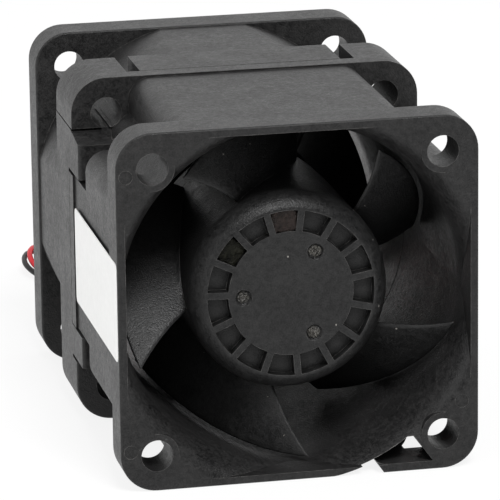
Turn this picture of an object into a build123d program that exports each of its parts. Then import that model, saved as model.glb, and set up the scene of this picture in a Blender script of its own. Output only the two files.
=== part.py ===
"""Counter-rotating axial cooling fan for a server chassis, 40 x 40 x 56 mm.

Two fans stand in line on one axis. The inlet unit and the outlet unit each have a plastic frame, a motor on
that frame's base and an impeller; the two frames clip into each other at the middle flange. Axes: +Y runs
from the inlet face to the outlet face along the shafts, +X is to the right seen from the inlet and +Z is up.
The origin is the centre of the inlet face. Lengths are in millimetres and angles in degrees.
"""

from build123d import *
import math
import os
from types import SimpleNamespace

# Outer size and the three flanges
FAN_SIZE = 40.0
FAN_LENGTH = 56.0
HALF = FAN_SIZE / 2
FLANGE_T = 5.0
CORNER_R = 0.1 * FAN_SIZE
EDGE_R = 0.25
HOLE_SPACING = 0.8 * FAN_SIZE
HOLE_R = 0.04375 * FAN_SIZE
BOSS_R = HOLE_R + 0.7
BOSS_CLEAR = 0.05

EJECTOR_R = 0.75
EJECTOR_DEPTH = 0.08
EJECTOR_AT = ((1.1 - HALF, 0.3825 * FAN_SIZE), (1.1 - HALF, -0.385 * FAN_SIZE), (HALF - 1.9, -0.31 * FAN_SIZE))

# Air duct and the outside of the frames
RIM_T = 1.0
BORE_R = HALF - RIM_T
WALL_T = 1.8
WALL_R = BORE_R + WALL_T
WALL_DRAFT = 0.4
FLAT_SINK = 0.25
BODY_FLAT = HALF - FLAT_SINK
MOUTH_FLARE = 2.6
MOUTH_R = BORE_R + MOUTH_FLARE
MOUTH_DEPTH = FLANGE_T + 0.5
MOUTH_RIM = 0.9
MOUTH_HALF = HALF - MOUTH_RIM
OUTLET_MOUTH_R = BORE_R + 0.7
OUTLET_MOUTH_DEPTH = 2.0
PAD_HALF = 0.33625 * FAN_SIZE
PAD_R = 2.4

# Middle flange, where the two frames meet
MID_FRONT = 27 / 56 * FAN_LENGTH
MID_BACK = MID_FRONT + 2 * FLANGE_T
SEAM_Y = MID_FRONT + 2.3
SEAM_GAP = 0.18
CORNER_FOOT_Z = 0.3575 * FAN_SIZE
CORNER_SIDE_X = 0.33 * FAN_SIZE
TONGUE_HALF = CORNER_SIDE_X - 1.6
SIDE_STRIP_HALF = 0.2225 * FAN_SIZE
CLIP_FRONT = MID_FRONT - 4.0
CLIP_HIGH = (SIDE_STRIP_HALF + 0.45, CORNER_FOOT_Z - SEAM_GAP)
CLIP_LOW = (-0.315 * FAN_SIZE, -SIDE_STRIP_HALF - 0.15)
CLIP_CHAMFER = 0.8
CLIP_ROUND = 0.4
LOWER_CORNER_Z = CLIP_LOW[0] - 0.4
SIDE_PAD_END = CLIP_FRONT - 3.1
BARB_DEPTH = 0.35
BARB_LENGTH = 1.2
FIT = 0.05

# Wire hook in the lower right corner of the inlet flange
HOOK_RING_R = BORE_R + 1.3
HOOK_BAR_T = 1.0
HOOK_TIP = (0.2125 * FAN_SIZE, 1.25 - HALF)
HOOK_SLANT = 1.5
HOOK_ROOT_X = 0.37125 * FAN_SIZE
HOOK_TOP = (0.31875 * FAN_SIZE, -0.40375 * FAN_SIZE)

# Impellers
TIP_GAP = 0.5
ROTOR_R = BORE_R - TIP_GAP
HUB_R = 0.28 * FAN_SIZE
HUB_WALL = 0.8
HUB_PLATE_T = 1.9
HUB_EDGE_R = 1.7
POCKET_OUT_R = HUB_R - 1.85
POCKET_IN_R = POCKET_OUT_R - 2.35
POCKET_DEPTH = 1.0
POCKETS = 15
POCKET_RIB = 0.75
POCKET_PHASE = 82.3
GATE_R = POCKET_IN_R - 1.7
GATE_MARK_R = 0.55
GATE_DEPTH = 0.3
GATE_ANGLES = (58.5, 181.7, 299.0)
BLADE_T_ROOT = 1.15
BLADE_T_TIP = 0.75
BLADE_T_EDGE = 0.4
BLADE_CAMBER = 0.72
BLADE_ROOT_SINK = 0.4
BLADE_SECTIONS = (-0.274, 0.164, 0.63, 1.096)

# Motor, the same radii in both units
SHAFT_R = 0.0375 * FAN_SIZE
BEARING_OUT_R = 0.0875 * FAN_SIZE
BEARING_WIDTH = 3 / 56 * FAN_LENGTH
BALLS = 6
BALL_PITCH_R = (SHAFT_R + BEARING_OUT_R) / 2
BALL_R = 0.31 * (BEARING_OUT_R - SHAFT_R)
BALL_CLEAR = 0.02
RACE_LIP = 0.215 * (BEARING_OUT_R - SHAFT_R)
SHIELD_T = 0.12
SHIELD_GAP = 0.08
SLEEVE_T = 0.7
SLEEVE_R = BEARING_OUT_R + SLEEVE_T
SLEEVE_RIB_R = BEARING_OUT_R - 0.5
SLEEVE_RIB_SHARE = 0.3
BUSH_R = SHAFT_R + 1.2
BUSH_SINK = 0.9
YOKE_T = 0.65
MAGNET_T = 1.3
AIR_GAP = 0.3
MAGNET_OVERHANG = 1.0
STATOR_R = HUB_R - HUB_WALL - YOKE_T - MAGNET_T - AIR_GAP
CORE_RING_T = 0.2785 * (STATOR_R - SLEEVE_R)
POLES = 4
POLE_WIDTH = 0.32 * STATOR_R
POLE_TIP_T = CORE_RING_T
POLE_TIP_SPAN = 74.0
INSULATOR_T = 0.35
COIL_FIT = 0.05
COIL_SIDE = 0.184 * STATOR_R
COIL_END = 1.6
COIL_ROUND = 0.5 * COIL_SIDE
CORE_LIFT = 5.5 / 56 * FAN_LENGTH
BUSH_LENGTH = 0.6 * CORE_LIFT
BASE_R = HUB_R - 0.1
BASE_T = 1.6
BASE_RIM_T = 0.8
BASE_RIM_H = 1.6
BOSS_TUBE_R = SLEEVE_R + 1.0
BOSS_TUBE_H = 2.0
PCB_R = BASE_R - BASE_RIM_T - 0.8
PCB_T = 0.8
PCB_LIFT = 0.7
PCB_MIDDLE_R = (PCB_R + BOSS_TUBE_R) / 2
RUN_GAP = 0.3
SPRING_WIRE_R = 0.16
SPRING_R = SHAFT_R + 0.45
SPRING_TURNS = 2.5
CLIP_RING_R = SHAFT_R + 0.55
CLIP_RING_T = 0.3
CLIP_RING_SINK = 0.6
GROOVE_DEPTH = 0.25
SHAFT_END = 1.3

# Struts
STRUT_ANGLES = (65.0, 155.0, 245.0)
LEAD_ANGLE = -45.0
STRUT_HALF_T = 0.75
STRUT_DEPTH = 3.6
STRUT_SINK = 0.3
CHANNEL_WIDTH = 2.4
CHANNEL_WALL = 0.5
CHANNEL_H = 1.2

# Leads
LEAD_R = 0.35
LEAD_PITCH = 0.8
LEAD_OUT = 3.2
TIE_T = 0.5
TIE_WIDTH = 2.4
HANK_CENTRE = (HALF - 22.1, FAN_LENGTH + 34.0)
HANK_LENGTH = 27.5
HANK_WIDTH = 13.2
HANK_BUNDLE = 3.4
HANK_HEIGHT = 3.0
HANK_ROUND = 1.1
TAIL_SIDE = HANK_CENTRE[0] + HANK_LENGTH / 2 - 0.95
TAIL_PITCH = 0.9
TAIL_START = HANK_CENTRE[1] + 2.0
TAIL_END = HANK_CENTRE[1] + HANK_WIDTH / 2 + 1.8
TIP_R = 0.25
TIP_LENGTH = 4.0

# Label on the left side of the inlet unit
LABEL_T = 0.12
LABEL_Y = (0.5, MID_FRONT - 1.3)
LABEL_Z = (-5.35, 5.6)
LABEL_CORNER = 0.6

BASE_Z = -HALF

# The inlet unit, in depths below its own face
INLET_HUB_FACE = 4.3
INLET_BASE = MID_FRONT - 1.5
INLET = SimpleNamespace(
    name="inlet",
    face=0.0,
    turned=False,
    hub_face=INLET_HUB_FACE,
    base=INLET_BASE,
    blades=5,
    tip_angle=130.7,
    wrap=54.0,
    sweep=12.5,
    lead_hub=INLET_HUB_FACE + 3.1,
    lead_tip=INLET_HUB_FACE - 1.1,
    trail=INLET_BASE - 2.3,
    putty=((94.3, 0.9), (142.3, 0.55)),
)

# The outlet unit, in depths below its own face; its blades lead on the inner side
OUTLET_HUB_FACE = 3.4
OUTLET_BASE = FAN_LENGTH - MID_BACK - 0.6
OUTLET = SimpleNamespace(
    name="outlet",
    face=FAN_LENGTH,
    turned=True,
    hub_face=OUTLET_HUB_FACE,
    base=OUTLET_BASE,
    blades=4,
    tip_angle=203.0,
    wrap=50.0,
    sweep=8.0,
    lead_hub=OUTLET_BASE - 2.2,
    lead_tip=OUTLET_BASE - 2.1,
    trail=OUTLET_HUB_FACE + 0.3,
    putty=((214.3, 0.7),),
)

NODES = {}


def keep(name, *solids):
    """Stores one or more solids under a node name."""
    NODES[name] = Compound(children=list(solids)) if len(solids) > 1 else solids[0]


def front_plane(y):
    """A plane across the axis at depth y, drawn as seen from the inlet: x to the right and y up."""
    return Plane(origin=(0, y, 0), x_dir=(1, 0, 0), z_dir=(0, -1, 0))


def slab(sketch, y0, y1):
    """The sketch, seen from the inlet, carried from depth y0 to y1."""
    return extrude(front_plane(y0) * sketch, amount=y0 - y1)


def tube(r_out, r_in, y0, y1):
    """A ring about the axis."""
    return slab(Circle(r_out) - Circle(r_in), y0, y1)


def turned(*points):
    """The closed profile of (radius, depth) points, turned about the axis."""
    return revolve(make_face(Polyline(*points, close=True)), Axis.Y)


def place(unit, shape):
    """Carries a shape built from its unit's own outer face to its place in the fan."""
    return Pos(0, unit.face, 0) * Rot(0, 0, 180) * shape if unit.turned else shape


def world(unit, angle):
    """An angle seen from the inlet, as the unit's own drawing needs it."""
    return 180 - angle if unit.turned else angle


def radial(angle, r):
    """The point at radius r and this angle, in the plane across the axis."""
    return r * math.cos(math.radians(angle)), r * math.sin(math.radians(angle))


def box_between(x, y, z):
    """A box between pairs of limits along each axis."""
    size = [hi - lo for lo, hi in (x, y, z)]
    middle = [(hi + lo) / 2 for lo, hi in (x, y, z)]
    return Pos(*middle) * Box(*size)


def band(x=(-99.0, 99.0), z=(-99.0, 99.0)):
    """A rectangle between limits, as a sketch seen from the inlet."""
    width, height = x[1] - x[0], z[1] - z[0]
    return Pos((x[0] + x[1]) / 2, (z[0] + z[1]) / 2) * Rectangle(width, height)


def flange_sketch():
    return RectangleRounded(FAN_SIZE, FAN_SIZE, CORNER_R)


def square(half):
    return Rectangle(2 * half, 2 * half)


def hole_points():
    h = HOLE_SPACING / 2
    return [(h, h), (-h, h), (-h, -h), (h, -h)]


def screw_holes(y0, y1):
    """The four screw holes through a depth."""
    return slab(Sketch() + [Pos(x, z) * Circle(HOLE_R) for x, z in hole_points()], y0, y1)


def bell_mouth():
    """The inlet flare: a quarter ellipse from the face to the bore, cut square near the flange's sides."""
    swell = MOUTH_R - BORE_R
    arc = EllipticalCenterArc((MOUTH_R, MOUTH_DEPTH), swell, MOUTH_DEPTH, start_angle=180, arc_size=90)
    sides = Polyline((MOUTH_R, 0), (0, 0), (0, MOUTH_DEPTH), (BORE_R, MOUTH_DEPTH))
    flare = revolve(make_face(arc + sides), Axis.Y)
    return flare & slab(square(MOUTH_HALF), 0, MOUTH_DEPTH)


def soften(shape, y, radius=EDGE_R):
    """Rounds the outline of a flange face at depth y."""
    outer = [
        e
        for e in shape.edges().filter_by_position(Axis.Y, y - 1e-4, y + 1e-4)
        if max(abs(e.center().X), abs(e.center().Z)) > HALF - CORNER_R * 0.4
    ]
    return fillet(outer, radius)


def hook_cut():
    """The window and slot that free a thin bar along the bottom edge of the flange's corner."""
    low = -HALF - 1
    bar_top = -HALF + HOOK_BAR_T
    tip_x, tip_z = HOOK_TIP
    window = make_face(
        Polyline(
            HOOK_TOP,
            (HOOK_ROOT_X, bar_top),
            (tip_x + 0.8, bar_top),
            (tip_x, tip_z),
            (tip_x + HOOK_SLANT, low),
            (0, low),
            (0, tip_z),
            close=True,
        )
    )
    return slab(window - Circle(HOOK_RING_R), -1, FLANGE_T + 1)


def ejector_marks():
    """Shallow round marks on the inlet face."""
    marks = [Pos(x, z) * Circle(EJECTOR_R) for x, z in EJECTOR_AT]
    return slab(Sketch() + marks, -1, EJECTOR_DEPTH)


def inlet_frame():
    """The inlet unit's frame: flange, duct wall with side pads, upper corners of the middle flange, motor base."""
    flange = soften(soften(slab(flange_sketch(), 0, FLANGE_T), 0), FLANGE_T)
    pad = RectangleRounded(2 * BODY_FLAT, 2 * PAD_HALF, PAD_R)
    tall_pad = RectangleRounded(2 * PAD_HALF, 2 * BODY_FLAT, PAD_R)
    round_wall = Circle(WALL_R) & square(BODY_FLAT)
    strip = band((-BODY_FLAT, BODY_FLAT), (-SIDE_STRIP_HALF, SIDE_STRIP_HALF))
    body = slab(round_wall + pad + tall_pad, FLANGE_T, SIDE_PAD_END)
    neck = slab(round_wall + tall_pad + strip, SIDE_PAD_END, MID_FRONT)
    full = flange_sketch()
    top = full & band(z=(CORNER_FOOT_Z, FAN_SIZE))
    sides = full & band(z=(-SIDE_STRIP_HALF, SIDE_STRIP_HALF))
    bottom = full & band((-TONGUE_HALF, TONGUE_HALF), (-FAN_SIZE, 0))
    meeting = slab(round_wall + top + sides + bottom, MID_FRONT, SEAM_Y)
    uppers = top - band((-CORNER_SIDE_X, CORNER_SIDE_X)) - Circle(WALL_R + SEAM_GAP)
    corners = slab(uppers, SEAM_Y, MID_BACK)
    corners = soften(corners, MID_BACK)
    frame = flange + body + neck + meeting + corners
    bosses = [Pos(x, z) * Circle(BOSS_R) for x, z in hole_points()]
    mouth = bell_mouth() - slab(Sketch() + bosses, BOSS_CLEAR, MOUTH_DEPTH)
    frame -= mouth + slab(Circle(BORE_R), MOUTH_DEPTH, SEAM_Y)
    frame -= screw_holes(-1, MID_BACK + 1)
    frame -= hook_cut() + ejector_marks()
    frame -= barb_pockets()
    frame += motor_base(INLET)
    return frame - lead_channel(INLET)


def clip_sketch(span):
    """One pair of clip arms, left and right, outside the inlet unit's wall."""
    return (flange_sketch() & band(z=span)) - Circle(WALL_R + FIT) - band((-BORE_R / 2, BORE_R / 2))


def barb_ring(grow):
    """The ring that the clip barbs share, grown by a clearance."""
    y0, y1 = CLIP_FRONT - grow, CLIP_FRONT + BARB_LENGTH + grow
    return tube(WALL_R + 1, WALL_R + FIT - BARB_DEPTH - grow, y0, y1)


def barb_zone(grow):
    """Where the clip arms reach, as blocks on both sides of the fan."""
    zone = Sketch()
    for lo, hi in (CLIP_HIGH, CLIP_LOW):
        zone += band(z=(lo - grow, hi + grow)) - band((-BORE_R / 2, BORE_R / 2))
    return slab(zone, CLIP_FRONT - grow, CLIP_FRONT + BARB_LENGTH + grow)


def barb_pockets():
    """Pockets in the inlet unit's wall that the clip barbs snap into."""
    return barb_ring(FIT) & barb_zone(FIT)


def clip_arms():
    """The outlet frame's four arms that reach over the inlet frame, with barbs at their tips."""
    arms = Part()
    for span in (CLIP_HIGH, CLIP_LOW):
        arms += slab(clip_sketch(span), CLIP_FRONT, SEAM_Y + SEAM_GAP)
    front = [
        e
        for e in arms.edges().filter_by_position(Axis.Y, CLIP_FRONT - 1e-4, CLIP_FRONT + 1e-4)
        if abs(e.center().X) > HALF - 1e-3
    ]
    arms = fillet(front, CLIP_ROUND)
    arms += (barb_ring(0) & barb_zone(0)) & slab(flange_sketch(), CLIP_FRONT + CLIP_ROUND, FAN_LENGTH)
    nose = CLIP_HIGH[1]
    for side in (-1, 1):
        wedge = make_face(
            Polyline(
                (CLIP_FRONT - 1, nose - CLIP_CHAMFER),
                (CLIP_FRONT, nose - CLIP_CHAMFER),
                (MID_FRONT + 0.8, nose),
                (MID_FRONT + 0.8, nose + 1),
                (CLIP_FRONT - 1, nose + 1),
                close=True,
            )
        )
        cut = extrude(Plane.YZ.offset(side * (HALF + 1)) * wedge, amount=-side * HALF)
        arms -= cut
    return arms


def outlet_frame():
    """The outlet unit's frame: round duct wall, outlet flange, lower corners of the middle flange, clips, base."""
    back = FAN_LENGTH - FLANGE_T
    flange = soften(soften(slab(flange_sketch(), back, FAN_LENGTH), back), FAN_LENGTH)
    round_wall = Circle(WALL_R) & square(BODY_FLAT)
    taper = turned((0, MID_BACK), (WALL_R, MID_BACK), (WALL_R - WALL_DRAFT, back), (0, back))
    body = taper & slab(square(BODY_FLAT), MID_BACK, back)
    full = flange_sketch()
    high = band(z=(CORNER_FOOT_Z - SEAM_GAP, FAN_SIZE)) - band((-TONGUE_HALF, TONGUE_HALF))
    meeting = slab((full - high) + round_wall, SEAM_Y + SEAM_GAP, MID_BACK)
    lower = full & band(z=(-FAN_SIZE, LOWER_CORNER_Z))
    lower -= band((-CORNER_SIDE_X, CORNER_SIDE_X)) + Circle(WALL_R + SEAM_GAP)
    corners = slab(lower, MID_FRONT, SEAM_Y + SEAM_GAP)
    corners = soften(corners, MID_FRONT)
    frame = flange + body + meeting + corners + clip_arms()
    bore = slab(Circle(BORE_R), SEAM_Y, FAN_LENGTH + 1)
    flare = turned(
        (0, FAN_LENGTH - OUTLET_MOUTH_DEPTH),
        (BORE_R, FAN_LENGTH - OUTLET_MOUTH_DEPTH),
        (OUTLET_MOUTH_R, FAN_LENGTH),
        (0, FAN_LENGTH),
    )
    frame -= (bore + flare) & slab(square(MOUTH_HALF), 0, FAN_LENGTH + 1)
    frame -= screw_holes(MID_FRONT - 1, FAN_LENGTH + 1)
    frame += place(OUTLET, motor_base(OUTLET))
    return frame - place(OUTLET, lead_channel(OUTLET))


def hub_end(unit):
    """Depth of the impeller cup's open end."""
    return unit.base - BASE_RIM_H - RUN_GAP


def strut(unit, angle):
    """One streamlined strut from the motor base to the duct wall."""
    y = unit.base + BASE_T - STRUT_DEPTH / 2 + 1.4
    at = world(unit, angle)
    x, z = radial(at, BASE_R - STRUT_SINK)
    ex, ez = radial(at, 1)
    across = Plane(origin=(x, y, z), x_dir=(0, 1, 0), z_dir=(ex, 0, ez))
    length = BORE_R - BASE_R + 2 * STRUT_SINK
    return extrude(across * Ellipse(STRUT_DEPTH / 2, STRUT_HALF_T), amount=length)


def along_lead(unit, width, y0, y1, r0, r1):
    """A bar of a given width along the lead strut, between two radii and two depths."""
    bar = box_between((r0, r1), (y0, y1), (-width / 2, width / 2))
    return Rot(0, -world(unit, LEAD_ANGLE), 0) * bar


def motor_base(unit):
    """Base plate with its rim, the boss that holds the bearing sleeve, board posts, struts and the lead strut."""
    floor = unit.base
    base = tube(BASE_R, SLEEVE_R, floor, floor + BASE_T)
    base += tube(BASE_R, BASE_R - BASE_RIM_T, floor - BASE_RIM_H, floor)
    base += tube(BOSS_TUBE_R, SLEEVE_R, floor - BOSS_TUBE_H, floor)
    for n in range(3):
        x, z = radial(30 + 120 * n, PCB_MIDDLE_R)
        base += slab(Pos(x, z) * Circle(0.6), floor - PCB_LIFT, floor)
    for angle in STRUT_ANGLES:
        base += strut(unit, angle)
    width = CHANNEL_WIDTH + 2 * CHANNEL_WALL
    bar = along_lead(
        unit, width, floor - CHANNEL_H, floor + STRUT_DEPTH - 0.6, BASE_R - BASE_RIM_T, WALL_R - 0.6
    )
    base += bar - slab(Circle(BASE_R - BASE_RIM_T), 0, FAN_LENGTH)
    return base


def lead_channel(unit):
    """The open channel on the lead strut and its way out through rim and wall."""
    floor = unit.base
    return along_lead(
        unit, CHANNEL_WIDTH, floor - CHANNEL_H, floor, BASE_R - BASE_RIM_T - 0.5, WALL_R + 1
    )


def pocket_ring(depth_plane):
    """The balance pockets as one sketch: a ring cut by its ribs."""
    ring = Circle(POCKET_OUT_R) - Circle(POCKET_IN_R)
    for n in range(POCKETS):
        angle = POCKET_PHASE - 360 / POCKETS * n
        x, z = radial(angle, (POCKET_OUT_R + POCKET_IN_R) / 2)
        ring -= Pos(x, z) * Rot(0, 0, angle) * Rectangle(POCKET_OUT_R, POCKET_RIB)
    return slab(ring, depth_plane, depth_plane + POCKET_DEPTH)


def hub(unit):
    """The impeller's cup with a rounded nose, balance pockets, gate marks and the seat of the shaft bush."""
    face, end = unit.hub_face, hub_end(unit)
    cup = slab(Circle(HUB_R), face, end)
    cup -= slab(Circle(HUB_R - HUB_WALL), face + HUB_PLATE_T, end)
    nose = cup.edges().filter_by(GeomType.CIRCLE).sort_by(Axis.Y)[0]
    cup = fillet(nose, HUB_EDGE_R)
    cup -= pocket_ring(face)
    for angle in GATE_ANGLES:
        x, z = radial(angle, GATE_R)
        cup -= slab(Pos(x, z) * Circle(GATE_MARK_R), face, face + GATE_DEPTH)
    return cup - slab(Circle(BUSH_R), face + HUB_PLATE_T - BUSH_SINK, face + HUB_PLATE_T)


def blade_section(unit, rho, middle):
    """A blade's outline on the flat plane at distance rho from the axis, square to the blade's middle radius.

    The camber line is parabolic in depth against angle; each point lies at its own true radius."""
    share = lambda r: (r - HUB_R) / (ROTOR_R - HUB_R)
    thick = BLADE_T_ROOT + (BLADE_T_TIP - BLADE_T_ROOT) * min(max(share(rho), 0), 1)
    camber = []
    for step in range(7):
        u = step / 6
        offset = 0.0
        for _ in range(8):
            r = math.hypot(rho, offset)
            lead = unit.tip_angle - unit.sweep * (1 - share(r))
            turn = lead - unit.wrap * u - middle
            offset = rho * math.tan(math.radians(turn))
        start = unit.lead_hub + (unit.lead_tip - unit.lead_hub) * share(r)
        depth = (unit.trail - start) * (BLADE_CAMBER * u + (1 - BLADE_CAMBER) * u * u)
        camber.append(Vector(offset, -(start + depth)))
    half = []
    for step in range(7):
        u = step / 6
        half.append((BLADE_T_EDGE + (thick - BLADE_T_EDGE) * 4 * u * (1 - u)) / 2)
    ways = [b - a for a, b in zip(camber[:1] + camber[:-1], camber[1:] + camber[-1:])]
    normals = [Vector(-w.Y, w.X).normalized() for w in ways]
    upper = [c + n * h for c, n, h in zip(camber, normals, half)]
    lower = [c - n * h for c, n, h in zip(camber, normals, half)]
    outline = Spline(*upper) + Line(upper[-1], lower[-1]) + Spline(*lower[::-1]) + Line(lower[0], upper[0])
    return make_face(outline)


def blade(unit):
    """One blade, lofted through flat sections and trimmed to the hub and to the tip circle."""
    middle = unit.tip_angle - (unit.sweep / 2 + unit.wrap / 2)
    ex, ez = radial(middle, 1)
    sections = []
    for share in BLADE_SECTIONS:
        rho = HUB_R + share * (ROTOR_R - HUB_R)
        plane = Plane(
            origin=(rho * ex, 0, rho * ez), x_dir=(-ez, 0, ex), z_dir=(ex, 0, ez)
        )
        sections.append(plane * blade_section(unit, rho, middle))
    body = loft(sections)
    return body & tube(ROTOR_R, HUB_R - BLADE_ROOT_SINK, 0, FAN_LENGTH)


def impeller(unit):
    wheel = hub(unit)
    one = blade(unit)
    for n in range(unit.blades):
        wheel += Rot(0, 360 / unit.blades * n, 0) * one
    return wheel


def putty(unit):
    """Balance putty pressed into pockets of the hub."""
    plane = unit.hub_face + POCKET_DEPTH
    lumps = []
    for angle, fill in unit.putty:
        x, z = radial(angle, (POCKET_OUT_R + POCKET_IN_R) / 2)
        lump = Rot(0, 0, angle) * Rectangle(1.9, 1.8)
        solid = slab(Pos(x, z) * lump, plane - POCKET_DEPTH * fill, plane)
        lumps.append(fillet(solid.edges().filter_by(Axis.Y), 0.5))
    return lumps


def bearing_depths(unit):
    """The front faces of the two ball bearings."""
    first = unit.hub_face + CORE_LIFT + 0.7
    return first, unit.base + CLIP_RING_SINK - BEARING_WIDTH


def race_groove(y, clear):
    """The groove that the balls run in, as a ring about the axis."""
    y_mid = y + BEARING_WIDTH / 2
    return revolve(Pos(BALL_PITCH_R, y_mid) * Circle(BALL_R + clear), Axis.Y)


def bearings(unit):
    """Two shielded ball bearings: outer rings, inner rings, balls and shields."""
    outers, inners, balls, shields = [], [], [], []
    for y in bearing_depths(unit):
        y1 = y + BEARING_WIDTH
        lip_out = BALL_PITCH_R + RACE_LIP
        lip_in = BALL_PITCH_R - RACE_LIP
        outers.append(tube(BEARING_OUT_R, lip_out, y, y1) - race_groove(y, BALL_CLEAR))
        inners.append(tube(lip_in, SHAFT_R, y, y1) - race_groove(y, 0.001))
        for n in range(BALLS):
            x, z = radial(360 / BALLS * n, BALL_PITCH_R)
            balls.append(Pos(x, y + BEARING_WIDTH / 2, z) * Sphere(BALL_R))
        for depth in (y, y1 - SHIELD_T):
            shields.append(tube(lip_out, lip_in + SHIELD_GAP, depth, depth + SHIELD_T))
    return outers, inners, balls, shields


def sleeve(unit):
    """The brass bearing sleeve, with a rib between the two bearings."""
    first, second = bearing_depths(unit)
    top, end = first - 0.2, unit.base + BASE_T
    middle = (first + BEARING_WIDTH + second) / 2
    rib = SLEEVE_RIB_SHARE * (second - first - BEARING_WIDTH)
    part = tube(SLEEVE_R, BEARING_OUT_R, top, end)
    return part + tube(BEARING_OUT_R, SLEEVE_RIB_R, middle - rib / 2, middle + rib / 2)


def shaft(unit):
    """The steel shaft with the groove of its retaining ring."""
    start = unit.hub_face + HUB_PLATE_T - BUSH_SINK
    end = unit.base + SHAFT_END
    rod = slab(Circle(SHAFT_R), start, end)
    ring_y = unit.base + CLIP_RING_SINK
    return rod - tube(SHAFT_R + 1, SHAFT_R - GROOVE_DEPTH, ring_y, ring_y + CLIP_RING_T)


def retaining_ring(unit):
    """A snap ring with a gap, in the shaft's groove, under the lower bearing."""
    y = unit.base + CLIP_RING_SINK
    ring = Circle(CLIP_RING_R) - Circle(SHAFT_R - GROOVE_DEPTH)
    ring -= band((0, CLIP_RING_R + 1), (-0.6, 0.6))
    return slab(ring, y, y + CLIP_RING_T)


def bush(unit):
    """The metal bush that joins shaft and impeller."""
    y = unit.hub_face + HUB_PLATE_T - BUSH_SINK
    return tube(BUSH_R, SHAFT_R, y, y + BUSH_LENGTH)


def spring(unit):
    """The preload spring between the bush and the first bearing's inner ring."""
    y0 = unit.hub_face + HUB_PLATE_T - BUSH_SINK + BUSH_LENGTH
    y1 = bearing_depths(unit)[0]
    height = y1 - y0 - 2 * SPRING_WIRE_R
    path = Helix(height / SPRING_TURNS, height, SPRING_R)
    start = path @ 0
    wire = Plane(origin=start, z_dir=path % 0) * Circle(SPRING_WIRE_R)
    coil = sweep(wire, path=path)
    return Pos(0, y0 + SPRING_WIRE_R, 0) * Rot(-90, 0, 0) * coil


def core_span(unit):
    """Where the stator's steel core starts and ends."""
    return unit.hub_face + CORE_LIFT, unit.base - CORE_LIFT - 0.1


def core_sketch():
    """The stator lamination: a ring, four poles and their curved tips."""
    ring = Circle(SLEEVE_R + CORE_RING_T)
    tip_in = STATOR_R - POLE_TIP_T
    wedge_r = STATOR_R * 2
    tips = Sketch()
    for n in range(POLES):
        angle = 360 / POLES * n
        ring += Rot(0, 0, angle) * band((0, STATOR_R - 0.1), (-POLE_WIDTH / 2, POLE_WIDTH / 2))
        a, b = (radial(angle + s * POLE_TIP_SPAN / 2, wedge_r) for s in (-1, 1))
        tips += make_face(Polyline((0, 0), a, b, close=True))
    tips &= Circle(STATOR_R) - Circle(tip_in)
    return (ring & Circle(STATOR_R)) + tips - Circle(SLEEVE_R)


def insulators(unit):
    """Plastic end frames on both sides of the core, each with four guard walls that hold the coils."""
    y0, y1 = core_span(unit)
    plate = core_sketch() & Circle(STATOR_R - 0.5)
    guard = core_sketch() & (Circle(STATOR_R - 0.5) - Circle(STATOR_R - POLE_TIP_T))
    reach = INSULATOR_T + COIL_END
    front = slab(plate, y0 - INSULATOR_T, y0) + slab(guard, y0 - reach, y0 - INSULATOR_T)
    rear = slab(plate, y1, y1 + INSULATOR_T) + slab(guard, y1 + INSULATOR_T, y1 + reach)
    return front, rear


def coils(unit):
    """Four copper windings, one round each pole."""
    y0, y1 = core_span(unit)
    r0 = SLEEVE_R + CORE_RING_T + 2 * COIL_FIT
    r1 = STATOR_R - POLE_TIP_T - COIL_FIT
    inner_half = POLE_WIDTH / 2 + COIL_FIT
    low, high = y0 - INSULATOR_T, y1 + INSULATOR_T
    wound = []
    for n in range(POLES):
        outer_half = inner_half + COIL_SIDE
        block = box_between((r0, r1), (low - COIL_END, high + COIL_END), (-outer_half, outer_half))
        block = fillet(block.edges().filter_by(Axis.X), COIL_ROUND)
        block -= box_between((0, r1 + 1), (low, high), (-inner_half, inner_half))
        block &= slab(Circle(r1), low - COIL_END, high + COIL_END)
        wound.append(Rot(0, -360 / POLES * n, 0) * block)
    return wound


def circuit_board(unit):
    """The ring-shaped motor board, with a notch where the leads are soldered."""
    y1 = unit.base - PCB_LIFT
    board = Circle(PCB_R) - Circle(BOSS_TUBE_R + 0.2)
    notch = Rot(0, 0, world(unit, LEAD_ANGLE)) * band((PCB_R - 1.0, PCB_R + 1), (-1.4, 1.4))
    return slab(board - notch, y1 - PCB_T, y1)


def board_parts(unit):
    """Driver chip, position sensor, two capacitors and two resistors on the board."""
    y1 = unit.base - PCB_LIFT - PCB_T
    sizes = ((90, 3.6, 2.6, 0.9), (180, 1.6, 1.5, 1.0), (215, 1.6, 0.9, 0.7), (250, 1.6, 0.9, 0.7))
    sizes += ((20, 1.6, 0.9, 0.5), (-5, 1.6, 0.9, 0.5))
    parts = []
    for angle, long, wide, tall in sizes:
        x, z = radial(angle, PCB_MIDDLE_R)
        foot = Pos(x, z) * Rot(0, 0, angle + 90) * Rectangle(long, wide)
        parts.append(slab(foot, y1 - tall, y1))
    return parts


def winding_pins(unit):
    """Three pins that carry the winding ends from the rear insulator to the board."""
    y0 = core_span(unit)[1] + INSULATOR_T
    y1 = unit.base - PCB_LIFT - PCB_T
    pins = []
    for n in range(3):
        x, z = radial(45 + 90 * n, SLEEVE_R + CORE_RING_T + 0.9)
        pins.append(slab(Pos(x, z) * Circle(0.25), y0, y1))
    return pins


def yoke(unit):
    """The steel cup that closes the magnet's field inside the impeller."""
    y0 = unit.hub_face + HUB_PLATE_T
    r = HUB_R - HUB_WALL
    cup = tube(r, r - YOKE_T, y0, hub_end(unit) - 0.4)
    return cup + tube(r, BUSH_R, y0, y0 + YOKE_T)


def magnet(unit):
    y0, y1 = core_span(unit)
    r = HUB_R - HUB_WALL - YOKE_T
    return tube(r, r - MAGNET_T, y0 - MAGNET_OVERHANG, y1 + MAGNET_OVERHANG)


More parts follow.
